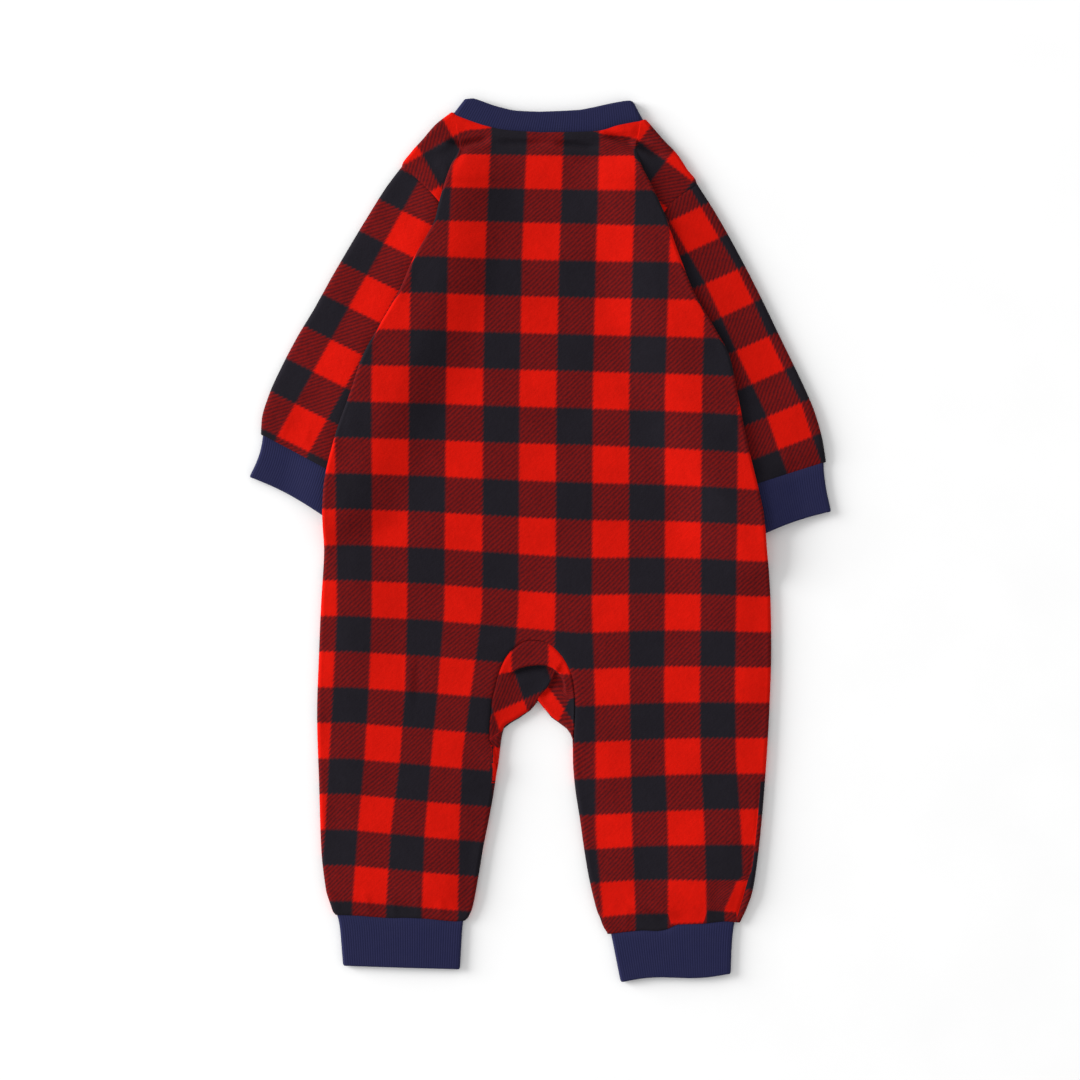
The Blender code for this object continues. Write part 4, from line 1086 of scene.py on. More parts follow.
def inner_edge(kind, side, row, y):
    """Distance of a panel's inner edge from the centre, and how far that edge is curled."""
    if kind == "back":
        if row >= SPLIT["back"]:
            drift = CENTRE_DRIFT * smooth((DRIFT_FROM - row) / (DRIFT_FROM - SPLIT["back"]))
            return (drift if side == "left" else -drift), 0.0
        curled = smooth((GUSSET_END[side] - row) / CURL_START)
        return leg_edge(side, y) + mix(GAP / 2, FLEECE / 2 - INSEAM_FULL, curled), curled
    if row < SPLIT["front"]:
        curled = smooth((SPLIT["front"] - row) / CURL_START)
        return FRONT_INNER[side](y) + mix(GAP / 2, FLEECE / 2 - INSEAM_FULL, curled), curled
    if row > FRONT_NECK_BASE:
        return FRONT_NECK[side](y), 0.0
    drifted = smooth((CROTCH_DRIFT - row) / (CROTCH_DRIFT - SPLIT["front"]))
    crotch = FRONT_INNER[side](SPLIT["front"]) * drifted
    return mix(GAP / 2 + crotch, -LAP, smooth((row - (LAP_END - LAP_CLOSE)) / LAP_CLOSE)), 0.0


def panel_check(kind, side, x, y, winged):
    """Place on the cloth of a body panel; winged says how much it belongs to the wing."""
    if kind == "front":
        return -x / SQUARE, main_check(0.0, y)[1] + FRONT_CHECK
    narrow, wide = WING_BLEND
    width = mix(narrow, wide, smooth((y - NECK_BLEND_FROM) / NECK_BLEND_DEPTH))
    beyond = smooth((abs(x) - BODY[side](y) + width) / width)
    share = max(winged, beyond * near_tip(side, y))
    plain = main_check(x, y)
    if side == "left" and STRIP_FOOT < y < STRIP_TOP:
        strip = smooth((x - STRIP_EDGE) / STRIP_STEP)
        return blend_pair(plain, panel_check("front", side, x, y, 0.0), strip)
    return plain if share == 0.0 else blend_pair(plain, turned_check("wing", side, x, y), share)


def raw_row(kind, side, row, has_wing):
    """One row across half a panel, inner edge first."""
    sign = SIGN[side]
    is_back = kind == "back"
    step = -1 if is_back else 1
    layer = 1 if is_back else -1
    y_in, y_out = row_heights(side, row)
    inner, curled = inner_edge(kind, side, row, y_in)
    top = edge_top(side, y_out)
    fold = fold_profile(side, y_out, curl_radius(top), has_wing)
    shoulder = smooth((y_out - SHOULDER_END[side]) / SHOULDER_FADE + 1.0) if has_wing else 0.0
    seam = armhole(side, y_out) - FLEECE / 2 * shoulder
    outline = seam if has_wing else BODY[side](y_out) - FLEECE / 2
    curl = curled_edge(inner, y_in, curled)
    start, end = curl[-1][0], fold[0][0]
    line, jump = end - SIDE_SEAM_LEAST, (0.0, 0.0)
    if is_back and side == "right" and y_out < SIDE_SEAM.at[-1]:
        line, jump = min(line, SIDE_SEAM(y_out)), SIDE_SEAM_STEP

    def row_y(u):
        if row > NECK_BASE and is_back:
            corner = WING[side](CORNER_Y[side]) - FLEECE / 2
            return mix(NECK_BASE, NECK[side](max(0.0, u) * corner / outline), near_neck(row))
        share = clamp((u - inner) / (outline - inner))
        near_cuff = max(0.0, near_ankle(row))
        return mix(y_in, y_out, share) + near_cuff**2 * SEAM_WAVE[side](1 - share)

    def level(u):
        if not is_back:
            return FLOOR + lap_rise(side, u, row)
        if row >= SPLIT["back"]:
            return back_level(side, u, row, y_out)
        inner_top = mix(CROWN, plain_top(y_in), curled)
        return mix(inner_top, back_level(side, u, row, y_out), smooth((u - start) / INNER_RISE))

    def entry(u, y, z, freedom, place):
        rise = freedom * layer * relief(is_back, sign * u, y) if freedom else 0.0
        return (sign * u, y, z), place, layer, rise

    def check(u, y, winged=0.0, shift=(0.0, 0.0)):
        across, down = panel_check(kind, side, sign * u, y, winged)
        return across + shift[0], down + shift[1]

    def unrolled(place, run):
        """Place on the cloth that lies this much farther out, measured round its bends."""
        return place[0] + sign * layer * run / SQUARE, place[1]

    points = []
    roll = math.pi / 2 * curl_radius(plain_top(y_in)) * curled
    for k, (u, drop) in enumerate(curl):
        place = unrolled(check(start, row_y(u)), -roll * (1 - k / (len(curl) - 1)))
        points.append(entry(u, row_y(u), level(start) + step * drop, 0.0 if curled else 1.0, place))
    main = [(u, (0.0, 0.0)) for u in spread(start, line, MAIN_STEPS)[1:]]
    main += [(mix(line, end, k / STRIP_STEPS), jump) for k in range(STRIP_STEPS)]
    for u, shift in main:
        if jump == (0.0, 0.0):
            free = smooth((end - u) / CREASE_FADE)
        else:
            free = smooth((end - u) / SIDE_SEAM_FADE + SIDE_SEAM_SHARE)
        if curled:
            free *= smooth((u - start) / CREASE_FADE)
        points.append(entry(u, row_y(u), level(u), free, check(u, row_y(u), shift=shift)))
    edge_level = top if is_back else FLOOR
    stacked = near_tip(side, y_out)
    edge_place = check(end, row_y(end), shift=jump)
    wing_place = check(fold[-1][0], row_y(fold[-1][0]), 1.0)
    run = 0.0
    for k, (u, drop) in enumerate(fold):
        if k:
            run += math.hypot(u - fold[k - 1][0], drop - fold[k - 1][1])
        place = unrolled(edge_place, run)
        if has_wing:
            place = blend_pair(place, wing_place, k / (len(fold) - 1))
        free = stacked if has_wing else 0.0
        points.append(entry(u, row_y(u), edge_level + step * drop, free, place))
    u, drop = fold[-1]
    if has_wing:
        field = high if is_back else low
        bend = SIDE_BEND * shoulder
        last = max(u + LEAST_WING, seam - bend)
        for v in spread(u, last, WING_STEPS)[1:]:
            free = max(stacked, smooth((v - u) / WING_FADE))
            points.append(entry(v, row_y(v), field(side, v, y_out), free, check(v, row_y(v), 1.0)))
        hem = check(last, y_out, 1.0)
        for k, (v, drop) in enumerate(turn_arc((last, 0.0), bend, 0.0, math.pi / 2), 1):
            z = field(side, last, y_out) + step * drop
            points.append(entry(v, y_out, z, 0.0, unrolled(hem, bend * math.pi / 2 * k / ARC_STEPS)))
        return points
    seam_z = (top + FLOOR - step * CURL_GAP * (1 + FOLD[side]["closed"](y_out))) / 2
    base = edge_level + step * drop
    beyond = len(spread(0.0, 1.0, WING_STEPS)) - 1
    for k in range(1, beyond + ARC_STEPS + 1):
        z = mix(base, seam_z, min(1.0, k / beyond))
        points.append(entry(u, y_out, z, 0.0, unrolled(place, abs(z - base))))
    return points


def panel_row(kind, side, row):
    """A row across half a panel. Between armpit and full side seam, the two kinds blend."""
    if WING_GONE < row < ARMPIT:
        share = smooth((ARMPIT - row) / (ARMPIT - WING_GONE))
        winged = raw_row(kind, side, row, True)
        plain = raw_row(kind, side, row, False)
        return [
            (tuple(mix(p, q, share) for p, q in zip(a[0], b[0])), blend_pair(a[1], b[1], share), a[2],
             mix(a[3], b[3], share))
            for a, b in zip(winged, plain)
        ]
    return raw_row(kind, side, row, row >= ARMPIT)


def curled_edge(inner, y, curled):
    """Inseam edge of a leg: (distance, drop) from the seam up onto the panel."""
    radius = curl_radius(plain_top(y)) * curled
    angles = [math.pi / 2 * k / ARC_STEPS for k in range(ARC_STEPS + 1)]
    return [(inner + radius * (1 - math.cos(a)), radius * (1 - math.sin(a))) for a in angles]


def back_panel():
    sheet = Sheet()
    rows = finer(TOP_ROWS + BODY_ROWS + BACK_LEG_ROWS, ROW_STEP, (TOP_ROWS[0], BACK_LEG_ROWS[-1]))
    rows = [row for row in rows if not ARCH_FOOT < row < SPLIT["back"]]
    rows += [SPLIT["back"] + offset for offset in NEAR_SEAM]
    rows = sorted(set(rows + arch_rows()), reverse=True)
    for side in SIDES:
        sheet.grid([panel_row("back", side, row) for row in rows], flip=side == "left")
    return sheet


def front_panel(side):
    sheet = Sheet()
    rows = finer(TOP_ROWS + BODY_ROWS + FRONT_LEG_ROWS, ROW_STEP,
                 (TOP_ROWS[0], FRONT_NECK_BASE, SPLIT["front"], FRONT_LEG_ROWS[-1]))
    sheet.grid([panel_row("front", side, row) for row in rows], flip=side == "left")
    return sheet


# ------------------------------------------------------------------- flat tubes
def flat_ring(side, place, width, levels, bends, inset, shares):
    """Points round a flattened tube, as ((x, y, z), run round it): over its upper layer from
    the outer edge, then back below. The run is 0 at the outer edge and negative below.
    """
    outer_bend, inner_bend = bends

    def point(from_outer, share):
        u, y = place(from_outer / width)
        bottom, top = levels(u, y, from_outer / width)
        return SIGN[side] * u, y, mix(bottom, top, (1 + share) / 2)

    flat = (inset + outer_bend, width - inset - inner_bend)
    angles = [math.pi / 2 * k / RING_ARC for k in range(RING_ARC)]
    across = [(inset + outer_bend * (1 - math.cos(a)), math.sin(a)) for a in angles]
    upper = [mix(flat[0], flat[1], share) for share in shares]
    across += [(d, 1.0) for d in upper]
    across += [(width - inset - inner_bend * (1 - math.cos(a)), math.sin(a)) for a in angles[::-1]]
    over = [point(d, share) for d, share in across]
    under = [point(d, -share) for d, share in across]
    return over, under[1:-1]


def even_shares(steps):
    return [k / steps for k in range(steps + 1)]


def cuff_levels(side, u, y, across, raised=True):
    """Heights of a cuff's lower and upper layers."""
    up = min(1.0, lift_at(side, u, y)) if raised else 0.0
    bottom = RIB / 2 + 2 * LAYER * up
    puff = CUFF_PUFF * math.sin(math.pi * clamp(across))
    return bottom, bottom + mix(CUFF_TOP - RIB / 2 + puff, CUFF_PAIR, up)


def sleeve_place(side, s, t):
    """(distance, y) on a sleeve, s along it and t across it from its outer edge.

    Before its start, at s below 0, it goes straight on under the body's cloth.
    """
    if s < 0:
        start, ahead = sleeve_place(side, 0.0, t), sleeve_place(side, SLEEVE_AHEAD, t)
        return blend_pair(start, ahead, s / SLEEVE_AHEAD)
    start_y = SHOULDER_END[side] - SEAM_SHIFT
    end_y = SLEEVE_OUTER[side].at[0]
    inner_end = WRIST_INNER[side]

    def outer(a):
        y = mix(start_y, end_y, a)
        return SLEEVE_OUTER[side](y), y

    def armhole_seam(b):
        y = mix(SHOULDER_END[side], ARMPIT, b)
        hidden = smooth((b - UNDER_BODY[0]) / UNDER_BODY[1])
        return armhole(side, y) + SEAM_SHIFT, y - SEAM_SHIFT * (1 - hidden)

    across = blend_pair(armhole_seam(t), blend_pair(outer(1.0), inner_end, t), s)
    along = blend_pair(outer(s), blend_pair(armhole_seam(1.0), inner_end, s), t)
    top = blend_pair(armhole_seam(0.0), armhole_seam(1.0), t)
    corners = blend_pair(top, blend_pair(outer(1.0), inner_end, t), s)
    return across[0] + along[0] - corners[0], across[1] + along[1] - corners[1]


def to_cuff(s):
    """How far a sleeve has come down to its cuff, s along it."""
    return smooth((s - SLEEVE_TO_CUFF) / (1 - SLEEVE_TO_CUFF))


def sleeve_levels(side, u, y, s, across):
    bottom, top = low(side, u, y), high(side, u, y)
    free = 1 - min(1.0, lift_at(side, u, y))
    top += PUFF * free * math.sin(math.pi * clamp(across)) * smooth(s / PUFF_START)
    return blend_pair((bottom, top), cuff_levels(side, u, y, across), to_cuff(s))


def sleeve(side):
    """A sleeve's tube; its check goes on round the outer edge onto the lower layer."""
    sheet = Sheet()
    rows = []
    length = distance(sleeve_place(side, 0.0, 0.5), sleeve_place(side, 1.0, 0.5))
    near = [offset / length for offset in NEAR_SEAM]
    stations = even_shares(SLEEVE_STEPS)
    stations += near + [1 - share for share in near]
    stations += [-UNDER_REACH / length, -UNDER_REACH / 2 / length]
    for s in sorted(stations):
        width = distance(sleeve_place(side, s, 0.0), sleeve_place(side, s, 1.0))
        over, under = flat_ring(
            side,
            lambda t, s=s: sleeve_place(side, s, t),
            width,
            lambda u, y, a, s=s: sleeve_levels(side, u, y, s, a),
            (mix(SIDE_BEND, CUFF_BEND, to_cuff(s)), BEND),
            FLEECE / 2,
            even_shares(SLEEVE_ACROSS),
        )
        edge, far = over[0], over[-1]
        row = []
        span = distance(edge, far)
        for layer, points in ((1, over), (-1, under[::-1] + [edge])):
            for p in points:
                inside = distance(p, edge) / span
                free = smooth(inside * SLEEVE_FADE) * smooth((1 - inside) * SLEEVE_FADE)
                x, y = (p[0], p[1]) if layer > 0 else (2 * edge[0] - p[0], 2 * edge[1] - p[1])
                rise = free * relief(True, x, y) if layer > 0 and free else 0.0
                row.append((p, sleeve_check(side, x, y), layer, rise))
        rows.append(row)
    sheet.grid(rows, flip=side == "right", under="row")
    return sheet


def even_run(line, count, closed):
    """Points at even steps along a line of points, as an array."""
    line = np.array(line + line[:1] if closed else line)
    run = np.concatenate([[0.0], np.cumsum(np.linalg.norm(np.diff(line, axis=0), axis=1))])
    at = np.linspace(0.0, run[-1], count + 1)
    return np.stack([np.interp(at, run, line[:, k]) for k in range(3)], axis=1), run[-1]


def rib_rows(lines, closed, layer_of):
    """Rows of ribbed cloth through lines of points, each from its seam to its hem."""
    ribs = round(even_run(lines[len(lines) // 2], 1, closed)[1] / RIB_PITCH)
    count = ribs * RIB_STEPS
    rows = []
    depth = 0.0
    before = None
    for line in lines:
        points, _ = even_run(line, count, closed)
        if before is not None:
            depth += float(np.linalg.norm(points - before, axis=1).mean())
        before = points
        rows.append([
            (tuple(p), (k / RIB_STEPS, depth / RIB_PITCH), layer_of(p), 0.0)
            for k, p in enumerate(points.tolist())
        ])
    return rows


def rib_relief(cloth):
    """Rise of the outside of ribbed cloth: round ribs with narrow valleys between them."""
    wave = np.abs(np.cos(np.pi * cloth[:, 0]))
    return RIB_DEPTH * (wave**RIB_ROUND - (1 - RIB_STANDS))


def cuff(kind, side, seam, hem):
    """A rib tube between two ends, each an (outer, inner) pair of points."""
    sheet = Sheet()
    lines = []
    raised = kind == "wrist"
    draw, draw_in, waist, bow, wave, flare = CUFF_SHAPE[kind, side]
    length = distance(seam[0], hem[0])
    start = -UNDER_REACH / length
    near_hem = [1 - offset / length for offset in NEAR_HEM]
    even = [mix(start, 1.0, share) for share in even_shares(CUFF_STEPS)]
    for s in sorted(even + [0.0] + near_hem):
        past = max(0.0, s)
        corner = CUFF_CORNER * max(0.0, 1 - (1 - s) * length / NEAR_HEM[0]) ** 2
        flared = flare * math.exp(-past * length / CUFF_FLARE)
        drawn = (1 - past) ** CUFF_DRAW
        from_outer = draw * drawn + waist * math.sin(math.pi * past) + corner - flared
        from_inner = draw_in * drawn + corner - flared / 3
        outer = (mix(seam[0][0], hem[0][0], s) - from_outer, mix(seam[0][1], hem[0][1], s))
        inner = (mix(seam[1][0], hem[1][0], s) + from_inner, mix(seam[1][1], hem[1][1], s))

        def place(t, a=outer, b=inner, by=past):
            t = clamp(t)
            shift = by**2 * (bow * math.sin(math.pi * t) - wave * math.sin(2 * math.pi * t))
            if not raised:
                shift += (1 - by) ** 2 * SEAM_WAVE[side](t)
            return mix(a[0], b[0], t), mix(a[1], b[1], t) + shift

        over, under = flat_ring(
            side, place, distance(outer, inner),
            lambda u, y, a: cuff_levels(side, u, y, a, raised),
            (CUFF_BEND, CUFF_FOLD), RIB / 2, even_shares(CUFF_ACROSS),
        )
        lines.append(over + under[::-1])
    half = (CUFF_TOP + RIB / 2) / 2
    half += 2 * LAYER if raised else 0
    rows = rib_rows(lines, True, lambda p: 1 if p[2] > half else -1)
    sheet.grid(rows, flip=side == "right", under="row", free_end=True)
    return sheet


def wrist_cuff(side):
    outer = SLEEVE_OUTER[side]
    seam = ((outer.value[0], outer.at[0]), WRIST_INNER[side])
    return cuff("wrist", side, seam, WRIST_HEM[side])


def ankle_cuff(side):
    return cuff("ankle", side, ANKLE_SEAM[side], ANKLE_HEM[side])


# --------------------------------------------------------------------- neck band
def half_band(side):
    """Half of the band: from its lapped end under the chin, round the fold, to the back's centre."""
    stations = []
    for row in sorted(finer(BAND_FRONT_ROWS[::-1], BAND_ROW_STEP)):
        seam = (FRONT_NECK[side](row) - SEAM_SHIFT * (row > FRONT_NECK_BASE), row + SEAM_SHIFT)
        edge = (BAND_FRONT_EDGE[side]["distance"](row), BAND_FRONT_EDGE[side]["y"](row))
        stations.append((seam, edge, RIB / 2 + lap_rise(side, seam[0], row)))
    turn = (SIDE_TOP - RIB / 2) / 2
    seam_u, edge_u = BAND_FOLD[side][0][0], BAND_FOLD[side][1][0]
    for k in range(-RING_ARC, RING_ARC + 1):
        a = math.pi / 2 * k / RING_ARC
        inset = BAND_SLANT * (RIB / 2 + turn * (1 - math.cos(a)))
        stations.append((
            (seam_u - inset, NECK[side](seam_u - inset) + BAND_GAP),
            (edge_u - inset, BAND_BACK_EDGE[side](edge_u - inset)),
            RIB / 2 + turn * (1 + math.sin(a)),
        ))
    for k in range(1, BAND_BACK_STEPS + 1):
        share = k / BAND_BACK_STEPS
        u, v = mix(seam_u - inset, 0.0, share), mix(edge_u - inset, 0.0, share)
        stations.append(((u, NECK[side](u) + BAND_GAP), (v, BAND_BACK_EDGE[side](v)), SIDE_TOP))
    return [[(SIGN[side] * p[0], p[1], z) for p in (seam, edge)] for seam, edge, z in stations]


def neck_band():
    sheet = Sheet()
    stations = half_band("left") + half_band("right")[-2::-1]
    lines = []
    middle = SIDE_TOP / 2
    for share in BAND_SHARES:
        swell = BAND_SWELL * math.sin(math.pi * share)
        reach = share - BAND_UNDER * (1 - share)
        lines.append([
            (*blend_pair(seam, edge, reach), seam[2] + (swell if seam[2] > middle else 0.0))
            for seam, edge in stations
        ])
    rows = rib_rows(lines, False, lambda p: 1 if p[2] > middle else -1)
    sheet.grid(rows, under="row", free_end=True)
    return sheet


# ------------------------------------------------------------------------ gusset
def gusset_stations():
    """Side, y on the back's edge, y on the fronts' edge and roll, at close steps round the arch."""
    stations = []
    for side in SIDES:
        facts = curves(("front", "roll"), GUSSET[side])
        legs = finer([ARCH_FOOT, min(row[0] for row in GUSSET[side])], GUSSET_STEP)
        places = arch_rows() + legs[1:]
        stations.append([(side, y, facts["front"](y), facts["roll"](y)) for y in places])
    return stations[0][::-1] + stations[1][1:]


def gusset_check(x, y):
    """Place on the gusset's cloth: straight on its fold, turned both ways below that."""
    past, full = beside(GUSSET_LIP, x, y)
    past_lap, _ = beside(GUSSET_LAP, x, y)
    lower = blend_pair(turned_check("lap", "left", x, y), turned_check("lap", "right", x, y),
                       step_at(past_lap, TURN_STEP))
    width = mix(TURN_BLEND, TURN_STEP, full)
    place = blend_pair(turned_check("lip", "", x, y), lower, step_at(past, width))
    if x >= 0:
        return place
    foot_x, foot_y, slope = GUSSET_FOOT
    below_foot = foot_y + slope * (x - foot_x) - y
    return blend_pair(place, panel_check("front", "left", x, y, 0.0), step_at(below_foot, FOOT_STEP))


def gusset_sheet():
    """The crotch piece, from the back's arch over a rolled fold to the fronts' arch."""
    sheet = Sheet()
    rows = []
    for side, back_y, front_y, roll in gusset_stations():
        at_back = (SIGN[side] * (leg_edge(side, back_y) - BAND_GAP), back_y)
        at_front = (SIGN[side] * FRONT_INNER[side](front_y), front_y)
        length = distance(at_back, at_front)
        ahead = [(b - a) / length for a, b in zip(at_back, at_front)]
        flap = mix(SIDE_TOP, GUSSET_FLAP, roll)
        bend = flap - (SIDE_TOP + FLOOR + CURL_GAP) / 2
        end = length - FLEECE / 2 - bend
        profile = []
        for share in even_shares(GUSSET_ACROSS):
            free = smooth(share / GUSSET_FADE[0]) * smooth((1 - share) / GUSSET_FADE[1])
            z = mix(CROWN, flap, smooth(share / GUSSET_FALL))
            profile.append((mix(-UNDER_REACH, end, share), z, free))
        profile += [(d, flap - drop, 0.0) for d, drop in turn_arc((end, 0.0), bend, 0.0, math.pi / 2)]
        row = []
        for d, z, free in profile:
            x, y = at_back[0] + ahead[0] * d, at_back[1] + ahead[1] * d
            row.append(((x, y, z), gusset_check(x, y), 1, free * gusset_relief(x, y) if free else 0.0))
        rows.append(row)
    sheet.grid(rows, under="column")
    return sheet


# ----------------------------------------------------------------------- materials
class Nodes:
    """Short calls for a material's nodes."""

    def __init__(self, name):
        self.material = bpy.data.materials.new(name)
        self.material.use_nodes = True
        self.tree = self.material.node_tree
        self.shader = self.tree.nodes["Principled BSDF"]

    def put(self, socket, value):
        if isinstance(value, bpy.types.NodeSocket):
            self.tree.links.new(value, socket)
        else:
            socket.default_value = value

    def node(self, kind, *values, **named):
        """A new node with its first inputs, and those that are named, set or linked."""
        node = self.tree.nodes.new(f"ShaderNode{kind}")
        for socket, value in zip(node.inputs, values):
            self.put(socket, value)
        for name, value in named.items():
            self.put(node.inputs[name], value)
        return node

    def math(self, operation, *values, clamp=False):
        node = self.node("Math", *values)
        node.operation = operation
        node.use_clamp = clamp
        return node.outputs[0]

    def add(self, a, b):
        return self.math("ADD", a, b)

    def times(self, a, b):
        return self.math("MULTIPLY", a, b)

    def scaled(self, a, factor, shift=0.0, clamp=False):
        return self.math("MULTIPLY_ADD", a, factor, shift, clamp=clamp)

    def mix(self, share, a, b, blend="MIX"):
        node = self.node("Mix")
        node.data_type = "RGBA"
        node.blend_type = blend
        sockets = [s for s in node.inputs if s.enabled]
        for socket, value in zip(sockets, (share, a, b)):
            self.put(socket, value)
        return next(s for s in node.outputs if s.enabled)

    def noise(self, scale, detail, roughness=0.5):
        place = self.node("TexCoord").outputs["Object"]
        node = self.node("TexNoise", Scale=scale, Detail=detail, Roughness=roughness, Vector=place)
        return node.outputs["Fac"]

    def cloth(self):
        """Place on the cloth, across and down."""
        node = self.node("UVMap")
        node.uv_map = "cloth"
        parts = self.node("SeparateXYZ", node.outputs["UV"])
        return parts.outputs[0], parts.outputs[1]

    def grey(self, value):
        """A grey of this value."""
        return self.node("CombineColor", value, value, value).outputs[0]

    def bump(self, height, strength, distance_m, under=None):
        node = self.node("Bump", Height=height, Strength=strength, Distance=distance_m)
        if under:
            self.put(node.inputs["Normal"], under)
        return node.outputs["Normal"]

    def finish(self, colour, roughness, normal, **constants):
        self.put(self.shader.inputs["Base Color"], colour)
        self.put(self.shader.inputs["Roughness"], roughness)
        self.put(self.shader.inputs["Normal"], normal)
        for name, value in constants.items():
            self.shader.inputs[name.replace("_", " ")].default_value = value
        return self.material


def fleece_material():
    """Brushed fleece in a buffalo check: bright red, navy, and twill where they cross."""
    n = Nodes("buffalo_check_fleece")
    across, down = n.cloth()
    wander = n.scaled(n.noise(160.0, 2.0), 0.5, -0.25)
    phase = n.add(n.add(n.times(across, TWILL_ACROSS), n.times(down, TWILL_DOWN)), wander)
    line = n.math("SINE", n.times(phase, 2 * math.pi))
    worn = n.scaled(n.noise(560.0, 4.0, roughness=0.75), 4.4, -2.2)
    twill = n.scaled(n.add(line, worn), TWILL_SHARP, 0.5, clamp=True)
    saw = n.scaled(n.math("FRACT", phase), TOOTH, -TOOTH / 2)
    fray = n.scaled(n.noise(700.0, 2.0), FRAY, -FRAY / 2)
    shift = n.add(saw, fray)
    columns = n.math("SINE", n.times(n.add(across, shift), math.pi))
    rows = n.math("SINE", n.times(n.math("SUBTRACT", down, shift), math.pi))
    column = n.scaled(columns, -EDGE_SHARP, 0.5, clamp=True)
    row = n.scaled(rows, EDGE_SHARP, 0.5, clamp=True)
    both = n.times(column, row)
    either = n.math("SUBTRACT", n.add(column, row), both)
    mottle = n.noise(90.0, 4.0, roughness=0.65)
    crossed = n.mix(twill, TWILL_DARK, TWILL_RED)
    colour = n.mix(either, SQUARE_NAVY, crossed)
    colour = n.mix(both, colour, SQUARE_RED)
    pile = n.noise(1400.0, 3.0, roughness=0.6)
    shade = n.scaled(n.add(n.scaled(mottle, 0.5), n.scaled(pile, 0.5)), 0.6, 0.7)
    colour = n.mix(1.0, colour, n.grey(shade), blend="MULTIPLY")
    broad = n.scaled(n.noise(13.0, 2.0), 0.3, 0.85)
    colour = n.mix(1.0, colour, n.grey(broad), blend="MULTIPLY")
    roughness = n.scaled(n.noise(300.0, 3.0), 0.14, 0.84)
    fuzz = n.bump(n.noise(1900.0, 4.0, roughness=0.7), 0.35, 0.0006)
    fuzz = n.bump(n.noise(260.0, 3.0), 0.25, 0.0012, fuzz)
    normal = n.bump(twill, 0.12, 0.0003, fuzz)
    return n.finish(colour, roughness, normal, Specular_IOR_Level=0.05, Sheen_Weight=0.04,
                    Sheen_Roughness=0.45, Sheen_Tint=(1.0, 0.55, 0.5, 1.0), Metallic=0.0)


def rib_material():
    """Navy rib knit: stitches run up each rib. The valleys are darker, which is painted shade, and the
    cloth darkens a little between the stitches, which is painted shade too.
    """
    n = Nodes("navy_rib_knit")
    around, up = n.cloth()
    rib = n.math("ABSOLUTE", n.math("COSINE", n.times(around, math.pi)))
    lean = n.times(n.math("ABSOLUTE", n.scaled(n.math("FRACT", around), 1.0, -0.5)), 1.2)
    stitch = n.math("SINE", n.times(n.add(n.times(up, STITCHES), lean), 2 * math.pi))
    stitch = n.scaled(stitch, 0.5, 0.5)
    mottle = n.noise(120.0, 3.0)
    yarn = n.noise(1600.0, 3.0, roughness=0.65)
    # Painted shade: the colour is darker in the valleys between the ribs.
    colour = n.mix(n.scaled(rib, 0.9, 0.1, clamp=True), RIB_VALLEY_SHADE, RIB_CREST)
    colour = n.mix(n.scaled(mottle, 0.5), colour, RIB_WORN)
    # Random yarn tone, plus painted shade that darkens the cloth a little between the stitches.
    shade = n.scaled(n.add(n.scaled(yarn, 0.7), n.scaled(stitch, 0.2)), 0.4, 0.82)
    colour = n.mix(1.0, colour, n.grey(shade), blend="MULTIPLY")
    roughness = n.scaled(yarn, 0.16, 0.78)
    knit = n.bump(stitch, 0.3, 0.0003)
    normal = n.bump(yarn, 0.3, 0.0004, knit)
    return n.finish(colour, roughness, normal, Specular_IOR_Level=0.07, Sheen_Weight=0.04,
                    Sheen_Roughness=0.5, Sheen_Tint=(0.6, 0.65, 1.0, 1.0), Metallic=0.0)


def cap_material():
    """Moulded resin of the snap caps, slightly rubbed."""
    n = Nodes("red_snap_resin")
    rub = n.noise(260.0, 4.0, roughness=0.7)
    colour = n.mix(n.scaled(rub, 0.8, clamp=True), CAP_RED, CAP_RUBBED)
    roughness = n.scaled(rub, 0.3, 0.2)
    normal = n.bump(n.noise(1200.0, 2.0), 0.1, 0.0001)
    return n.finish(colour, roughness, normal, Specular_IOR_Level=0.5, Coat_Weight=0.2, Metallic=0.0)


def floor_material():
    n = Nodes("pale_floor")
    grain = n.noise(14.0, 3.0)
    colour = n.mix(grain, FLOOR_PALE, FLOOR_WHITE)
    return n.finish(colour, n.scaled(grain, 0.1, 0.82), n.bump(grain, 0.02, 0.0002),
                    Specular_IOR_Level=0.1)


# --------------------------------------------------------------------- dressing up
fleece = fleece_material()
rib_knit = rib_material()
resin = cap_material()


def dress(node, sheet, cut, area, rests_on, ribbed=False):
    """A cloth piece in place of its node. The cut, in millimetres, and its area, in mm2, are not used."""
    if ribbed:
        piece = shell(f"{node}_cloth", sheet, RIB - RIB_DEPTH * RIB_STANDS, rib_relief)
    else:
        piece = shell(f"{node}_cloth", sheet, FLEECE)
    piece.data.materials.append(rib_knit if ribbed else fleece)
    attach(piece, "root")
    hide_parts(node)


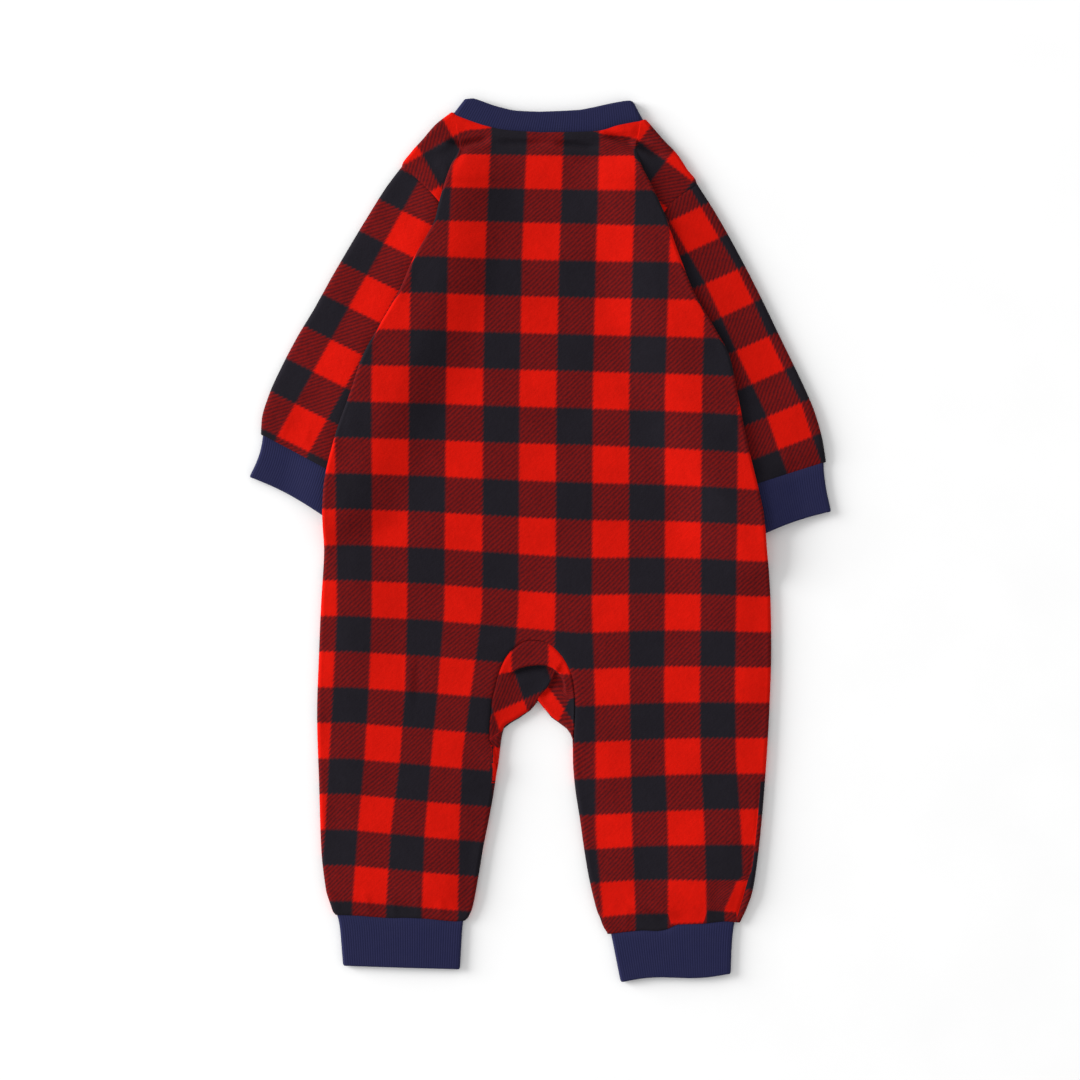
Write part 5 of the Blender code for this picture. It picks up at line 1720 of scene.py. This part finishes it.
FRONTS = ["front_left_cloth", "front_right_cloth"]
dress("back", back_panel(), (372.0, 562.0), 145200.0, [*FRONTS, "sleeve_left_cloth", "sleeve_right_cloth"])
dress("gusset", gusset_sheet(), (96.0, 62.0), 2830.0, FRONTS)
dress("collar", neck_band(), (330.0, 15.5), 4850.0, FRONTS, ribbed=True)
CUTS = {
    "left": {"front": ((205.0, 556.0), 72500.0), "sleeve": ((142.0, 236.0), 24500.0),
             "wrist_cuff": ((122.0, 31.0), 3620.0), "ankle_cuff": ((170.0, 34.0), 5630.0)},
    "right": {"front": ((216.0, 556.0), 77700.0), "sleeve": ((140.0, 242.0), 23000.0),
              "wrist_cuff": ((130.0, 34.0), 4280.0), "ankle_cuff": ((170.0, 34.0), 5550.0)},
}
for wearer_side in SIDES:
    on_front = ["floor", f"front_{wearer_side}_cloth"]
    for kind, make, rests_on, ribbed in (
        ("front", front_panel, ["floor"], False),
        ("sleeve", sleeve, on_front, False),
        ("wrist_cuff", wrist_cuff, on_front, True),
        ("ankle_cuff", ankle_cuff, ["floor"], True),
    ):
        dress(f"{kind}_{wearer_side}", make(wearer_side), *CUTS[wearer_side][kind], rests_on, ribbed)

for name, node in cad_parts.items():
    if name.startswith("snap_"):
        for place in node.material_slots:
            place.material = resin


# -------------------------------------------------------------- floor, light, camera
floor_mesh = bpy.data.meshes.new("floor")
floor_mesh.from_pydata(
    [(x * FLOOR_SIZE, y * FLOOR_SIZE, -FLOOR_DROP) for x, y in ((-1, -1), (1, -1), (1, 1), (-1, 1))], [],
    [(0, 1, 2, 3)],
)
floor = add_object("floor", floor_mesh)
floor_mesh.materials.append(floor_material())

world = bpy.data.worlds.new("studio")
world.use_nodes = True
world.node_tree.nodes["Background"].inputs["Color"].default_value = (1.0, 1.0, 1.0, 1.0)
world.node_tree.nodes["Background"].inputs["Strength"].default_value = FILL_LIGHT
bpy.context.scene.world = world


def lamp(name, energy, size, place):
    """A soft square light that faces the garment."""
    data = bpy.data.lights.new(name, "AREA")
    data.energy = energy
    data.size = size
    light = add_object(name, data)
    light.location = place
    x, y, z = place
    light.rotation_euler = (math.atan2(math.hypot(x, y), z), 0.0, math.atan2(y, x) + math.pi / 2)


for entry in LAMPS:
    lamp(*entry)

camera_data = bpy.data.cameras.new("camera")
camera_data.lens = LENS
camera_data.sensor_width = SENSOR
camera = add_object("camera", camera_data)
camera.location = (0.0, 0.0, LENS / SENSOR * FRAME_WIDTH + CAMERA_LEVEL)
bpy.context.scene.camera = camera
bpy.context.scene.view_settings.view_transform = "Standard"
